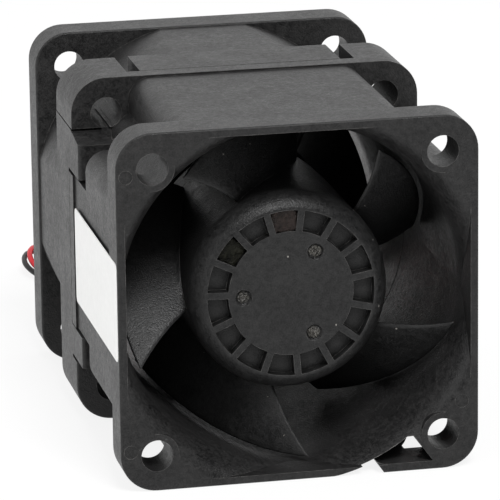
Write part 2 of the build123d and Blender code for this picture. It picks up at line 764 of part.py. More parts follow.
def lead_tails(unit):
    """The two leads inside the fan, from the board's notch to the duct wall's outer face."""
    y = unit.base - LEAD_R - 0.05
    tails = []
    for side in (-1, 1):
        rod = Pos(PCB_R - 0.9, y, side * LEAD_PITCH / 2) * Rot(0, 90, 0) * Cylinder(
            LEAD_R, WALL_R - PCB_R + 0.9, align=(Align.CENTER, Align.CENTER, Align.MIN)
        )
        tails.append(Rot(0, -world(unit, LEAD_ANGLE), 0) * rod)
    return tails


def lead_start(unit, side):
    """Where a lead leaves the duct wall, in the fan's own frame."""
    y = unit.base - LEAD_R - 0.05
    x, z = radial(LEAD_ANGLE, WALL_R)
    tx, tz = radial(LEAD_ANGLE + 90, side * LEAD_PITCH / 2)
    return x + tx, FAN_LENGTH - y if unit.turned else y, z + tz


# Each lead's route from the duct wall to the hank: beside the fan as (out from its side, share of its length,
# height over the surface), then behind it as (out from its side, distance behind it, height over the surface)
BESIDE = {
    "inlet_lead_red": (
        (1.4, 0.4696, 0.6),
        (2.7, 0.5625, 0.4),
        (2.5, 0.7054, 0.4),
        (2.8, 0.8482, 0.4),
        (2.5, 0.9911, 0.4),
    ),
    "inlet_lead_black": (
        (2.4, 0.4661, 1.1),
        (3.6, 0.5589, 0.4),
        (3.4, 0.7089, 0.4),
        (3.7, 0.8571, 0.4),
    ),
    "outlet_lead_black": (
        (0.6, 0.7179, 0.5),
        (0.9, 0.8304, 0.4),
        (0.7, 0.9554, 0.4),
    ),
    "outlet_lead_red": (
        (1.8, 0.7214, 0.5),
        (1.8, 0.8393, 0.4),
        (1.6, 0.9643, 0.4),
    ),
}
BEHIND = {
    "inlet_lead_red": (
        (2.7, 6.5, 0.4),
        (2.0, 13.3, 0.4),
        (-0.1, 20.0, 0.4),
        (-3.9, 25.6, 0.4),
        (-10.4, 33.9, 0.7),
    ),
    "inlet_lead_black": (
        (3.4, 0.3, 0.4),
        (3.6, 7.5, 0.4),
        (2.9, 14.4, 0.4),
        (0.7, 21.2, 0.4),
        (-3.2, 26.6, 0.4),
        (-9.4, 35.0, 0.7),
    ),
    "outlet_lead_black": (
        (0.9, 4.5, 0.4),
        (0.3, 11.5, 0.4),
        (-1.7, 18.0, 0.4),
        (-5.1, 23.6, 0.4),
        (-6.9, 28.2, 1.7),
        (-11.2, 32.0, 2.2),
    ),
    "outlet_lead_red": (
        (1.8, 5.0, 0.4),
        (1.2, 12.2, 0.4),
        (-0.9, 19.0, 0.4),
        (-4.5, 24.6, 0.4),
        (-6.3, 28.8, 1.7),
        (-10.2, 33.0, 2.2),
    ),
}


def lead_tube(start, beside, behind):
    """A lead's tube: straight runs joined by arcs as large as the two runs beside each corner allow."""
    x, z = radial(LEAD_ANGLE, LEAD_OUT)
    first = Vector(*start)
    points = [first, first + Vector(x, 0, z)]
    points += [Vector(HALF + out, share * FAN_LENGTH, BASE_Z + h) for out, share, h in beside]
    points += [Vector(HALF + out, FAN_LENGTH + back, BASE_Z + h) for out, back, h in behind]
    radii = []
    for a, b, c in zip(points, points[1:], points[2:]):
        turn = math.radians((b - a).get_angle(c - b))
        run = min((b - a).length, (c - b).length)
        radii.append(0.45 * run / math.tan(turn / 2))
    path = FilletPolyline(*points, radius=radii)
    print("lead radii", [round(r, 1) for r in radii], "length", round(path.length, 1))
    section = Plane(origin=path @ 0, z_dir=path % 0) * Circle(LEAD_R)
    return sweep(section, path=path), path.length


def rod_along(r, y0, y1, x, z):
    """A round rod along the fan's length."""
    return Pos(x, (y0 + y1) / 2, z) * Rot(90, 0, 0) * Cylinder(r, y1 - y0)


def hank_ring(length, width, bundle, z0, height):
    """A racetrack ring lying flat: the outer shape of the folded leads."""
    outer = SlotOverall(length, width)
    inner = SlotOverall(length - 2 * bundle, width - 2 * bundle)
    return Pos(*HANK_CENTRE, z0) * extrude(outer - inner, amount=height)


def leads():
    starts = {
        "inlet_lead_black": lead_start(INLET, 1),
        "inlet_lead_red": lead_start(INLET, -1),
        "outlet_lead_black": lead_start(OUTLET, -1),
        "outlet_lead_red": lead_start(OUTLET, 1),
    }
    hank = hank_ring(HANK_LENGTH, HANK_WIDTH, HANK_BUNDLE, BASE_Z, HANK_HEIGHT)
    hank = fillet(hank.faces().sort_by(Axis.Z)[-1].edges(), HANK_ROUND)
    places = [(TAIL_SIDE - TAIL_PITCH * n, BASE_Z + LEAD_R + 0.05) for n in range(4)]
    keep("lead_hank", hank + [rod_along(LEAD_R, TAIL_START, TAIL_END, x, z) for x, z in places])
    for name, start in starts.items():
        solid, length = lead_tube(start, BESIDE[name], BEHIND[name])
        print(name, "volume", round(solid.volume, 2), "expected", round(math.pi * LEAD_R**2 * length, 2))
        keep(name, solid - hank)
    cx, cy = HANK_CENTRE
    x = (cx - TIE_WIDTH / 2, cx + TIE_WIDTH / 2)
    half = HANK_WIDTH / 2
    top = BASE_Z + HANK_HEIGHT
    band_out = box_between(x, (cy - half - TIE_T, cy + half + TIE_T), (BASE_Z, top + TIE_T))
    band_in = box_between(x, (cy - half, cy + half), (BASE_Z - 1, top))
    keep("hank_tie", band_out - band_in)
    tips = [rod_along(TIP_R, TAIL_END, TAIL_END + TIP_LENGTH, x, z) for x, z in places]
    keep("lead_tinned_ends", *tips)


def rating_label():
    """The label on the left side of the inlet unit; it is bare."""
    y0, y1 = LABEL_Y
    z0, z1 = LABEL_Z
    face = Plane(origin=(-FAN_SIZE / 2, (y0 + y1) / 2, (z0 + z1) / 2), x_dir=(0, -1, 0), z_dir=(-1, 0, 0))
    return extrude(face * RectangleRounded(y1 - y0, z1 - z0, LABEL_CORNER), amount=LABEL_T)


def motor(unit):
    """Every piece of one motor, placed in the fan."""
    outers, inners, balls, shields = bearings(unit)
    front, rear = insulators(unit)
    groups = {
        "bearing_sleeve": [sleeve(unit)],
        "bearing_outer_rings": outers,
        "bearing_inner_rings": inners,
        "bearing_balls": balls,
        "bearing_shields": shields,
        "shaft": [shaft(unit)],
        "retaining_ring": [retaining_ring(unit)],
        "shaft_bush": [bush(unit)],
        "preload_spring": [spring(unit)],
        "stator_core": [slab(core_sketch(), *core_span(unit))],
        "insulator_front": [front],
        "insulator_rear": [rear],
        "coils": coils(unit),
        "circuit_board": [circuit_board(unit)],
        "board_parts": board_parts(unit),
        "winding_pins": winding_pins(unit),
        "lead_tails": lead_tails(unit),
        "yoke": [yoke(unit)],
        "magnet": [magnet(unit)],
        "impeller": [impeller(unit)],
        "balance_putty": putty(unit),
    }
    for name, solids in groups.items():
        keep(f"{unit.name}_{name}", *[place(unit, s) for s in solids])


def main():
    os.makedirs("parts", exist_ok=True)
    keep("inlet_frame", inlet_frame())
    keep("outlet_frame", outlet_frame())
    motor(INLET)
    motor(OUTLET)
    keep("rating_label", rating_label())
    leads()
    for name, shape in NODES.items():
        export_step(shape, f"parts/{name}.step")


main()
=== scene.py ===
"""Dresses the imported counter-rotating axial fan and sets it on its stage.

Lengths are in metres and angles in degrees. +Y runs along the shafts from the inlet face, at 0, to the
outlet, +X is to the right seen from the inlet and +Z is up. Each unit's own view looks into its own open
face.
"""

import math
from types import SimpleNamespace
from typing import NamedTuple

import bmesh
import bpy
import numpy as np
from mathutils import Matrix, Vector

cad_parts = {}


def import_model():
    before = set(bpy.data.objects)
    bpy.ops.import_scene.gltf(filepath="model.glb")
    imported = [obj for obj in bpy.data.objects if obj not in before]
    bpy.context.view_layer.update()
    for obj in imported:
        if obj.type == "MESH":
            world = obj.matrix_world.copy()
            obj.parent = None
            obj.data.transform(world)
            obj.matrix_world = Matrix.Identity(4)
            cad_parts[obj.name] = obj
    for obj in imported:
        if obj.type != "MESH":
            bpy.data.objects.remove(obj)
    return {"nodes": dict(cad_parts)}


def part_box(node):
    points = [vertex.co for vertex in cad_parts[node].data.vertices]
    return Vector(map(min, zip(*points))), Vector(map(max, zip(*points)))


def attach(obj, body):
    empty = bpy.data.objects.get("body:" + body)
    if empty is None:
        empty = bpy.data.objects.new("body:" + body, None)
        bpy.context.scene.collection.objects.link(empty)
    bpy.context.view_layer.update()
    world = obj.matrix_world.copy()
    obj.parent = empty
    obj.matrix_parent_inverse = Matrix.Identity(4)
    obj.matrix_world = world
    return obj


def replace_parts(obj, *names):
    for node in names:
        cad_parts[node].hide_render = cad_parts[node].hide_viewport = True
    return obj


bl_info = {
    "name": "Axial fan dresser",
    "version": (1, 0, 0),
    "blender": (4, 5, 0),
    "location": "View3D > Sidebar > Fan",
    "description": "Impellers, label, leads and finishes of a counter-rotating axial fan",
    "category": "Object",
}

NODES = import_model()["nodes"]
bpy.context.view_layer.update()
MM = 0.001

# The fan's driving sizes
FAN_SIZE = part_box("outlet_frame")[1].x * 2
FAN_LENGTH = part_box("outlet_frame")[1].y
HALF = FAN_SIZE / 2
FLOOR_Z = -HALF
FLANGE_T = 5 * MM
MID_FRONT = 27 / 56 * FAN_LENGTH
MID_BACK = MID_FRONT + 2 * FLANGE_T
BORE_R = HALF - 1 * MM
WALL_R = BORE_R + 1.8 * MM

# Impellers
ROTOR_R = BORE_R - 0.5 * MM
HUB_R = 0.28 * FAN_SIZE
HUB_WALL = 0.8 * MM
HUB_PLATE_T = 1.9 * MM
HUB_EDGE_R = 1.7 * MM
HUB_CHAMFER = 0.1 * MM
NOSE_START = 24.0
HUB_END_GAP = 1.9 * MM
BUSH_R = 0.0375 * FAN_SIZE + 1.2 * MM
BUSH_SINK = 0.9 * MM
POCKET_OUT_R = HUB_R - 1.85 * MM
POCKET_IN_R = POCKET_OUT_R - 2.35 * MM
POCKET_DEPTH = 1 * MM
POCKET_DRAFT = 0.07 * MM
POCKETS = 15
POCKET_RIB = 0.75 * MM
POCKET_PHASE = 82.3
GATE_R = POCKET_IN_R - 1.7 * MM
GATE_MARK_R = 0.92 * MM
GATE_DEPTH = 0.3 * MM
GATE_ANGLES = (58.5, 181.7, 299.0)
BLADE_T_ROOT = 1.15 * MM
BLADE_T_TIP = 0.75 * MM
BLADE_T_EDGE = 0.4 * MM
BLADE_CAMBER = 0.72
BLADE_SINK = 0.4 * MM
ROOT_FLARE = 0.5 * MM
BLADE_CORNER = np.array([0.1, 0.03, 0.0]) * MM
BLADE_CORNER_SHARES = (0.97, 0.82, 0.6)
POCKET_MARGIN = 5.0
POLE_R = 0.05 * MM
SCAR_WAVES = 12
PUTTY_HALF = 1.42 * MM

INLET_HUB_FACE = 4.3 * MM
INLET_BASE = MID_FRONT - 1.5 * MM
OUTLET_HUB_FACE = 3.4 * MM
OUTLET_BASE = FAN_LENGTH - MID_BACK - 0.6 * MM
INLET = SimpleNamespace(
    name="inlet",
    turned=False,
    hub_face=INLET_HUB_FACE,
    base=INLET_BASE,
    blades=5,
    tip_angle=130.7,
    wrap=54.0,
    sweep=12.5,
    lead_hub=INLET_HUB_FACE + 3.1 * MM,
    lead_tip=INLET_HUB_FACE - 1.1 * MM,
    trail=INLET_BASE - 2.3 * MM,
    putty=((94.3, 0.95), (142.3, 0.6)),
)
OUTLET = SimpleNamespace(
    name="outlet",
    turned=True,
    hub_face=OUTLET_HUB_FACE,
    base=OUTLET_BASE,
    blades=4,
    tip_angle=203.0,
    wrap=50.0,
    sweep=8.0,
    lead_hub=OUTLET_BASE - 2.2 * MM,
    lead_tip=OUTLET_BASE - 2.1 * MM,
    trail=OUTLET_HUB_FACE + 0.3 * MM,
    putty=((214.3, 0.75),),
)

# Leads: each route beside the fan as (out from its side, share of its length, height over the floor), then
# behind it as (out from its side, distance behind it, height over the floor), in millimetres
LEAD_R = 0.35 * MM
LEAD_PITCH = 0.8 * MM
LEAD_OUT = 3.2 * MM
LEAD_ANGLE = -45.0
LEAD_DEPTH = LEAD_R + 0.05 * MM
BESIDE = {
    "inlet_lead_red": (
        (1.4, 0.4696, 0.6),
        (2.7, 0.5625, 0.4),
        (2.5, 0.7054, 0.4),
        (2.8, 0.8482, 0.4),
        (2.5, 0.9911, 0.4),
    ),
    "inlet_lead_black": ((2.4, 0.4661, 1.1), (3.6, 0.5589, 0.4), (3.4, 0.7089, 0.4), (3.7, 0.8571, 0.4)),
    "outlet_lead_black": ((0.6, 0.7179, 0.5), (0.9, 0.8304, 0.4), (0.7, 0.9554, 0.4)),
    "outlet_lead_red": ((1.8, 0.7214, 0.5), (1.8, 0.8393, 0.4), (1.6, 0.9643, 0.4)),
}
BEHIND = {
    "inlet_lead_red": ((2.7, 6.5, 0.4), (2.0, 13.3, 0.4), (-0.1, 20.0, 0.4), (-3.9, 25.6, 0.4)),
    "inlet_lead_black": (
        (3.4, 0.3, 0.4),
        (3.6, 7.5, 0.4),
        (2.9, 14.4, 0.4),
        (0.7, 21.2, 0.4),
        (-3.2, 26.6, 0.4),
    ),
    "outlet_lead_black": (
        (0.9, 4.5, 0.4),
        (0.3, 11.5, 0.4),
        (-1.7, 18.0, 0.4),
        (-5.1, 23.6, 0.4),
        (-6.9, 28.2, 1.7),
    ),
    "outlet_lead_red": (
        (1.8, 5.0, 0.4),
        (1.2, 12.2, 0.4),
        (-0.9, 19.0, 0.4),
        (-4.5, 24.6, 0.4),
        (-6.3, 28.8, 1.7),
    ),
}

# Label: corner, and how far its rows stand in from its outline and out from the wall
LABEL_CORNER = 0.6 * MM
LABEL_INSETS = np.array([0, 0, 0.02, 0.06, 0.3, 1.5, 3.0, 4.6]) * MM
LABEL_LIFTS = np.array([0, 0.6, 0.9, 1, 1, 1, 1, 1])[:, None]

# Tie: corner of its loop, half of the ribbon's thickness with its ridges, and the two parts of that half
TIE_CORNER = 0.9 * MM
TIE_HALF = 0.25 * MM
TIE_RIBBON = 0.16 * MM
TIE_RIDGE = 0.07 * MM

# The hank: a racetrack of turns in columns, counted from its outside, and layers, counted from the floor
HANK_X = HALF - 22.1 * MM
HANK_Y = FAN_LENGTH + 34 * MM
HANK_LENGTH = 27.5 * MM
HANK_WIDTH = 13.2 * MM
HANK_END = (HANK_LENGTH - HANK_WIDTH) / 2
HANK_PITCH = 0.78 * MM
HANK_LAYER = 0.74 * MM
HANK_TURNS = 3
STATION_ANGLES = (0, 30, 60, 90, 90, 90, 120, 150, 180, 210, 240, 270, 270, 270, 300, 330)
STATION_ENDS = (1, 1, 1, 1, 0, -1, -1, -1, -1, -1, -1, -1, 0, 1, 1, 1)
TAIL_SIDE = HANK_X + HANK_LENGTH / 2 - 0.95 * MM
TAIL_PITCH = 0.9 * MM
TAIL_END = HANK_Y + HANK_WIDTH / 2 + 1.8 * MM
TIP_R = 0.25 * MM
TIP_LENGTH = 4 * MM
TIP_Z = FLOOR_Z + LEAD_R + 0.05 * MM
STRANDS = 7
STRAND_TWIST = 900

# Turns at which a lead moves in by a column, out again, and up by a layer, and how its first turn is loose
COLUMN_IN = (0.8, 1.0)
COLUMN_OUT = (2.6, 2.8)
LAYER_UP = (1.68, 1.9)
LOOSE_TURN = 0.7
LOOSE_ANGLES = (90, 120, 150, 180, 210, 240)
LOOSE_SHARES = (0.2, 0.8, 1, 0.7, 0.25, 0)


class Lead(NamedTuple):
    """A lead: its unit, its side of the exit, its column and layer in the hank, its place among the tails,
    its length (not used), and how far its turns are slack and its first one is let out and risen, in
    millimetres."""

    unit: SimpleNamespace
    side: int
    column: int
    layer: int
    tail: int
    length: float
    slack: float = 0.0
    out: float = 0.0
    rise: float = 0.0


LEADS = {
    "inlet_lead_black": Lead(INLET, 1, column=0, layer=0, tail=0, length=0.263, out=0.45, rise=1.6),
    "inlet_lead_red": Lead(INLET, -1, column=1, layer=0, tail=1, length=0.2485, out=0.5, rise=2.4),
    "outlet_lead_red": Lead(OUTLET, 1, column=0, layer=2, tail=2, length=0.2445, slack=1.2, rise=0.8),
    "outlet_lead_black": Lead(OUTLET, -1, column=1, layer=2, tail=3, length=0.2267, slack=1.7),
}


def place(unit, points):
    """Carries points from the unit's own view to the fan: half a turn about Z for the outlet unit."""
    return points * (-1, -1, 1) + (0, FAN_LENGTH, 0) if unit.turned else points


# Meshes


def surface(name, parts, material, body, sharp=35.0):
    """One piece from closed shells, each given as its points and lists of faces; faces point outwards."""
    points, faces, first = [], [], 0
    for shell_points, shell_faces in parts:
        points.append(shell_points.reshape(-1, 3))
        faces += [face for block in shell_faces for face in (block + first).tolist()]
        first += len(points[-1])
    mesh = bpy.data.meshes.new(name)
    mesh.from_pydata(np.concatenate(points).tolist(), [], faces)
    shell = bmesh.new()
    shell.from_mesh(mesh)
    bmesh.ops.remove_doubles(shell, verts=shell.verts, dist=1e-7)
    bmesh.ops.recalc_face_normals(shell, faces=shell.faces)
    shell.to_mesh(mesh)
    shell.free()
    mesh.polygons.foreach_set("use_smooth", np.ones(len(mesh.polygons), bool))
    mesh.set_sharp_from_angle(angle=math.radians(sharp))
    mesh.materials.append(material)
    piece = bpy.data.objects.new(name, mesh)
    bpy.context.scene.collection.objects.link(piece)
    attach(piece, body)
    return piece


def around(rows, columns):
    """Quads between neighbouring rows of a grid that closes around its columns."""
    i, j = np.meshgrid(np.arange(rows - 1), np.arange(columns), indexing="ij")
    a, b = i * columns + j, i * columns + (j + 1) % columns
    return np.stack([a, b, b + columns, a + columns], -1).reshape(-1, 4)


def ladder(first, columns):
    """Closes a row across its middle: point j is joined to point -j."""
    j = np.arange(1, columns // 2 - 1)
    quads = np.stack([j, j + 1, columns - j - 1, columns - j], -1) + first
    half = columns // 2
    ends = np.array([[0, 1, columns - 1], [half - 1, half, half + 1]]) + first
    return quads, ends


def end_faces(rows, columns):
    """The first and the last row of a grid, each as one flat face."""
    j = np.arange(columns)[None, :]
    return j, (rows - 1) * columns + j


def closed_rows(grid):
    """A grid of rows, each a closed outline, with both end rows closed across."""
    rows, columns = grid.shape[:2]
    caps = ladder(0, columns) + ladder((rows - 1) * columns, columns)
    return grid, (around(rows, columns),) + caps


def step(x, lo, hi):
    """Smooth step from 0 at lo to 1 at hi."""
    t = np.clip((x - lo) / (hi - lo), 0, 1)
    return t * t * (3 - 2 * t)


# Impellers


def blade(unit, number):
    """Points of one blade: camber line plus and minus half the thickness, at rows of growing radius.

    angle = tip - sweep (1 - share) - wrap u, depth = start + (trail - start)(c u + (1 - c) u^2), where u runs
    from leading to trailing edge. Half thickness = (edge + (t - edge) 4u(1 - u)) / 2, rounded to nothing at
    both edges; it swells at the hub as exp(-height / flare) and is thinned at the tip's corner."""
    root = np.linspace(HUB_R - BLADE_SINK, HUB_R + 2 * ROOT_FLARE, 7)
    span = np.linspace(HUB_R + 1.6 * MM, ROTOR_R - 0.2 * MM, 12)
    r = np.concatenate([root, span, ROTOR_R - BLADE_CORNER])[:, None]
    corner = np.concatenate([np.ones(len(root) + len(span)), BLADE_CORNER_SHARES])[:, None]
    t = np.linspace(0, 2 * np.pi, 96, endpoint=False)[None, :]
    u = (1 - np.cos(t)) / 2
    side = np.sign(np.sin(t) + 1e-9)
    share = (r - HUB_R) / (ROTOR_R - HUB_R)
    start = unit.lead_hub + (unit.lead_tip - unit.lead_hub) * share
    angle = np.radians(unit.tip_angle + 360 / unit.blades * number - unit.sweep * (1 - share) - unit.wrap * u)
    depth = start + (unit.trail - start) * (BLADE_CAMBER * u + (1 - BLADE_CAMBER) * u * u)
    along = -np.radians(unit.wrap) * r + 0 * u
    down = (unit.trail - start) * (BLADE_CAMBER + 2 * (1 - BLADE_CAMBER) * u)
    run = np.hypot(along, down)
    thick = BLADE_T_ROOT + (BLADE_T_TIP - BLADE_T_ROOT) * np.clip(share, 0, 1)
    thick = thick + 2 * ROOT_FLARE * np.exp(-np.maximum(r - HUB_R, 0) / ROOT_FLARE) * 4 * u * (1 - u)
    half = (BLADE_T_EDGE + (thick - BLADE_T_EDGE) * 4 * u * (1 - u)) / 2
    half = half * np.sqrt(1 - np.abs(2 * u - 1) ** 36) * corner * side
    angle = angle - half * down / run / r
    depth = depth + half * along / run
    return place(unit, np.stack([r * np.cos(angle), depth, r * np.sin(angle)], -1))


def pocket_depth(r, angle):
    """How deep the hub's face is sunk: a ring of pockets between ribs, and three rough gate marks.

    A mark's depth is its own times 1 + 0.16 sin(35 a + 3 n) + 0.1 sin(9 r + n), with a lip round it that
    falls off as exp(-distance^2)."""
    pitch = 2 * np.pi / POCKETS
    ribs = np.radians(POCKET_PHASE - 360 / POCKETS * np.arange(POCKETS))
    off = np.abs((angle[..., None] - ribs + pitch / 2) % pitch - pitch / 2).min(-1)
    from_rib = r * np.sin(off) - POCKET_RIB / 2
    ring = step(r, POCKET_IN_R, POCKET_IN_R + POCKET_DRAFT)
    ring = ring * step(-r, -POCKET_OUT_R, -POCKET_OUT_R + POCKET_DRAFT)
    sunk = POCKET_DEPTH * ring * step(from_rib, 0, POCKET_DRAFT)
    for n, gate in enumerate(np.radians(GATE_ANGLES)):
        across_x = r * np.cos(angle) - GATE_R * np.cos(gate)
        across_z = r * np.sin(angle) - GATE_R * np.sin(gate)
        across = np.hypot(across_x, across_z)
        rough = 1 + 0.16 * np.sin(35 * angle + 3 * n) + 0.1 * np.sin(r / MM * 9 + n)
        sunk = sunk + GATE_DEPTH * rough * step(-across, -GATE_MARK_R, -GATE_MARK_R + 0.2 * MM)
        lip = np.exp(-(((across - GATE_MARK_R - 0.08 * MM) / (0.1 * MM)) ** 2))
        sunk = sunk - 0.05 * MM * lip
    return sunk


def hub(unit):
    """The cup as a turned profile (radius, depth) with its face sunk by pocket_depth. The nose is an arc that
    starts at a crisp edge round the face, already turned down by the start angle. Rows are close together
    across the gate marks and at the pockets' borders.

    Columns bend with the radius so that they follow the straight ribs: angle = rib + asin(off / radius)."""
    end = unit.base - HUB_END_GAP
    face = unit.hub_face
    flat = HUB_R - HUB_EDGE_R
    border = POCKET_DRAFT * np.linspace(0, 1, 4)
    rows = [
        np.linspace(POLE_R, GATE_R - 1.1 * MM, 8),
        np.linspace(GATE_R - 0.9 * MM, GATE_R + 1.0 * MM, 16),
        [POCKET_IN_R - 0.12 * MM],
        POCKET_IN_R + border,
        np.linspace(POCKET_IN_R + 0.3 * MM, POCKET_OUT_R - 0.3 * MM, 7),
        POCKET_OUT_R - border[::-1],
        [POCKET_OUT_R + 0.06 * MM],
    ]
    start = math.radians(NOSE_START)
    nose_r = HUB_EDGE_R / (1 - math.sin(start))
    turn = np.linspace(start, np.pi / 2, 14)
    face_r = np.concatenate(rows)
    face_r = np.concatenate([face_r[face_r < flat], flat + nose_r * (np.sin(turn) - math.sin(start))])
    drop = nose_r * (math.cos(start) - np.cos(turn))
    face_y = face + np.concatenate([np.zeros(len(face_r) - len(turn)), drop])
    inner = HUB_R - HUB_WALL
    plate = face + HUB_PLATE_T
    seat = plate - BUSH_SINK
    wall = [
        (HUB_R, end - 4 * HUB_CHAMFER),
        (HUB_R, end - HUB_CHAMFER),
        (HUB_R - HUB_CHAMFER, end),
        (inner + HUB_CHAMFER, end),
        (inner, end - HUB_CHAMFER),
        (inner, plate),
        (BUSH_R, plate),
        (BUSH_R, seat),
        (POLE_R, seat),
    ]
    wall_r, wall_y = np.transpose(wall)
    r = np.concatenate([face_r, wall_r])[:, None]
    y = np.concatenate([face_y, wall_y])[:, None]
    front = np.concatenate([np.ones(len(face_r)), np.zeros(len(wall_r))])[:, None]
    edge = POCKET_RIB / 2 + border
    off = np.concatenate([-edge[::-1], [0], edge])[None, :]
    held = np.clip(r, POCKET_IN_R, POCKET_OUT_R)
    near = np.arcsin(off / held)
    far = np.radians(np.linspace(POCKET_MARGIN, 360 / POCKETS - POCKET_MARGIN, 11))[None, :] + 0 * r
    one = np.concatenate([near, far], 1)
    ribs = np.radians(POCKET_PHASE + 360 / POCKETS * np.arange(POCKETS))
    angle = (ribs[None, :, None] + one[:, None, :]).reshape(len(r), -1)
    depth = y + front * pocket_depth(r + 0 * angle, angle)
    grid = np.stack([r * np.cos(angle), depth, r * np.sin(angle)], -1)
    size = grid.shape[:2]
    return place(unit, grid), (around(*size), *end_faces(*size))


def impeller(unit, material):
    """Hub and blades of one rotor."""
    blades = [closed_rows(blade(unit, n)) for n in range(unit.blades)]
    piece = surface(f"{unit.name}_rotor_moulding", [hub(unit)] + blades, material, f"{unit.name}_rotor", 40)
    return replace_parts(piece, f"{unit.name}_impeller")


def gate_scar(unit, number):
    """Torn plastic where a gate broke off: a disc whose height is a sum of sines of random pitch and way,
    falling to nothing at its rim, closed below."""
    dice = np.random.RandomState(11 + number)
    pitch, way, shift = (dice.uniform(*span, SCAR_WAVES) for span in ((14, 46), (0, np.pi), (0, 2 * np.pi)))
    r = np.linspace(0.02, 1, 22)[:, None] * GATE_MARK_R * 0.93
    a = np.linspace(0, 2 * np.pi, 72, endpoint=False)[None, :]
    x, z = r * np.cos(a), r * np.sin(a)
    along = (x[..., None] * np.cos(way) + z[..., None] * np.sin(way)) / MM
    rough = np.sin(along * pitch / 3 + shift).sum(-1) / np.sqrt(SCAR_WAVES)
    crumb = np.abs(rough) * step(-r, -GATE_MARK_R, -0.6 * GATE_MARK_R)
    bump = GATE_DEPTH * (0.25 + 0.75 * crumb) * step(-r, -GATE_MARK_R * 0.94, -0.5 * GATE_MARK_R)
    gate = np.radians(GATE_ANGLES[number])
    floor = unit.hub_face + GATE_DEPTH * 1.25
    top = np.stack([GATE_R * np.cos(gate) + x, floor - 0.02 * MM - bump, GATE_R * np.sin(gate) + z], -1)
    rim = top[-1:] * (1, 0, 1) + (0, floor, 0)
    grid = np.concatenate([top, rim])
    size = grid.shape[:2]
    return place(unit, grid), (around(*size), *end_faces(*size))


def softened(wave):
    """A sine or cosine blown up towards a square: its sign times its size to the power of 0.35."""
    return np.sign(wave) * np.abs(wave) ** 0.35


def putty_lump(unit, angle, fill, seed):
    """A pressed lump: a superellipsoid, wrinkled by sines, that fills one pocket of the hub.

    out = size * soft(cos b) soft(cos a) * wrinkle, across the same with sin a, up = size * soft(sin b), and
    wrinkle = 1 + 0.05 sin(5a + s) sin(4b + s) + 0.03 sin(9a - 2s)."""
    a = np.linspace(0, 2 * np.pi, 40, endpoint=False)[None, :]
    b = np.radians(np.linspace(-88, 88, 22))[:, None]
    wrinkle = 1 + 0.05 * np.sin(5 * a + seed) * np.sin(4 * b + seed) + 0.03 * np.sin(9 * a - 2 * seed)
    out = softened(np.cos(b)) * softened(np.cos(a)) * wrinkle * (POCKET_OUT_R - POCKET_IN_R) * 0.53
    across = softened(np.cos(b)) * softened(np.sin(a)) * wrinkle * PUTTY_HALF
    up = (softened(np.sin(b)) + 0 * a) * POCKET_DEPTH * fill / 2
    up = up * (1 + 0.18 * np.sin(3 * a + seed) * np.cos(b))
    middle = (POCKET_OUT_R + POCKET_IN_R) / 2
    turn = np.radians(angle)
    r = middle + out
    grid = np.stack(
        [
            r * np.cos(turn) - across * np.sin(turn),
            unit.hub_face + POCKET_DEPTH * (1.02 - fill / 2) - up,
            r * np.sin(turn) + across * np.cos(turn),
        ],
        -1,
    )
    return closed_rows(place(unit, grid))


# Label, tie and lead ends


def rounded_outline(wide, tall, corner, count=96):
    """Points of a rounded rectangle, evenly turned: each corner is a quarter circle."""
    turn = np.linspace(0, 2 * np.pi, count, endpoint=False) + np.pi / count
    x = np.sign(np.cos(turn)) * (wide / 2 - corner) + corner * np.cos(turn)
    y = np.sign(np.sin(turn)) * (tall / 2 - corner) + corner * np.sin(turn)
    return x, y


def label_sheet():
    """The bare label: a rounded rectangle in shrinking rows, with a soft edge; x = side - thickness * edge,
    with a wave of 0.02 mm times sin(0.9 y + 1) sin(0.7 z) on it."""
    lo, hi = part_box("rating_label")
    wide, tall = hi.y - lo.y, hi.z - lo.z
    y, z = rounded_outline(wide, tall, LABEL_CORNER)
    rows_y = y * (1 - LABEL_INSETS / (wide / 2))[:, None] + (lo.y + hi.y) / 2
    rows_z = z * (1 - LABEL_INSETS / (tall / 2))[:, None] + (lo.z + hi.z) / 2
    thick = hi.x - lo.x
    wave = 0.02 * MM * np.sin(rows_y / MM * 0.9 + 1) * np.sin(rows_z / MM * 0.7)
    rows_x = hi.x - (thick * 0.8 + wave) * LABEL_LIFTS
    grid = np.stack([rows_x, rows_y, rows_z], -1)
    size = grid.shape[:2]
    return grid, (around(*size), *end_faces(*size))


def tie_loop():
    """The tie round the hank: a flat ribbon with rounded edges and two wire ridges, carried along a rounded
    rectangle across the hank. A ridge is exp(-distance^2) of its place across the ribbon."""
    lo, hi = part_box("hank_tie")
    along = 160
    y, z = rounded_outline(hi.y - lo.y, hi.z - lo.z, TIE_CORNER, along)
    ny, nz = rounded_outline(2, 2, 0.999, along)
    length = np.hypot(ny, nz)
    t = np.linspace(0, 2 * np.pi, 28, endpoint=False)
    across = np.sign(np.cos(t)) * np.abs(np.cos(t)) ** 0.5 * (hi.x - lo.x) / 2
    ridge = np.sign(np.sin(t)) * np.exp(-((np.abs(np.cos(t)) - 0.35) ** 2) / 0.01)
    inset = TIE_HALF - (TIE_RIBBON * np.sin(t) + TIE_RIDGE * ridge)[None, :]
    grid = np.stack(
        [
            (lo.x + hi.x) / 2 + across[None, :] + 0 * y[:, None],
            (lo.y + hi.y) / 2 + y[:, None] - inset * (ny / length)[:, None],
            (lo.z + hi.z) / 2 + z[:, None] - inset * (nz / length)[:, None],
        ],
        -1,
    )
    grid = np.concatenate([grid, grid[:1]])
    return grid, (around(len(grid), len(t)),)


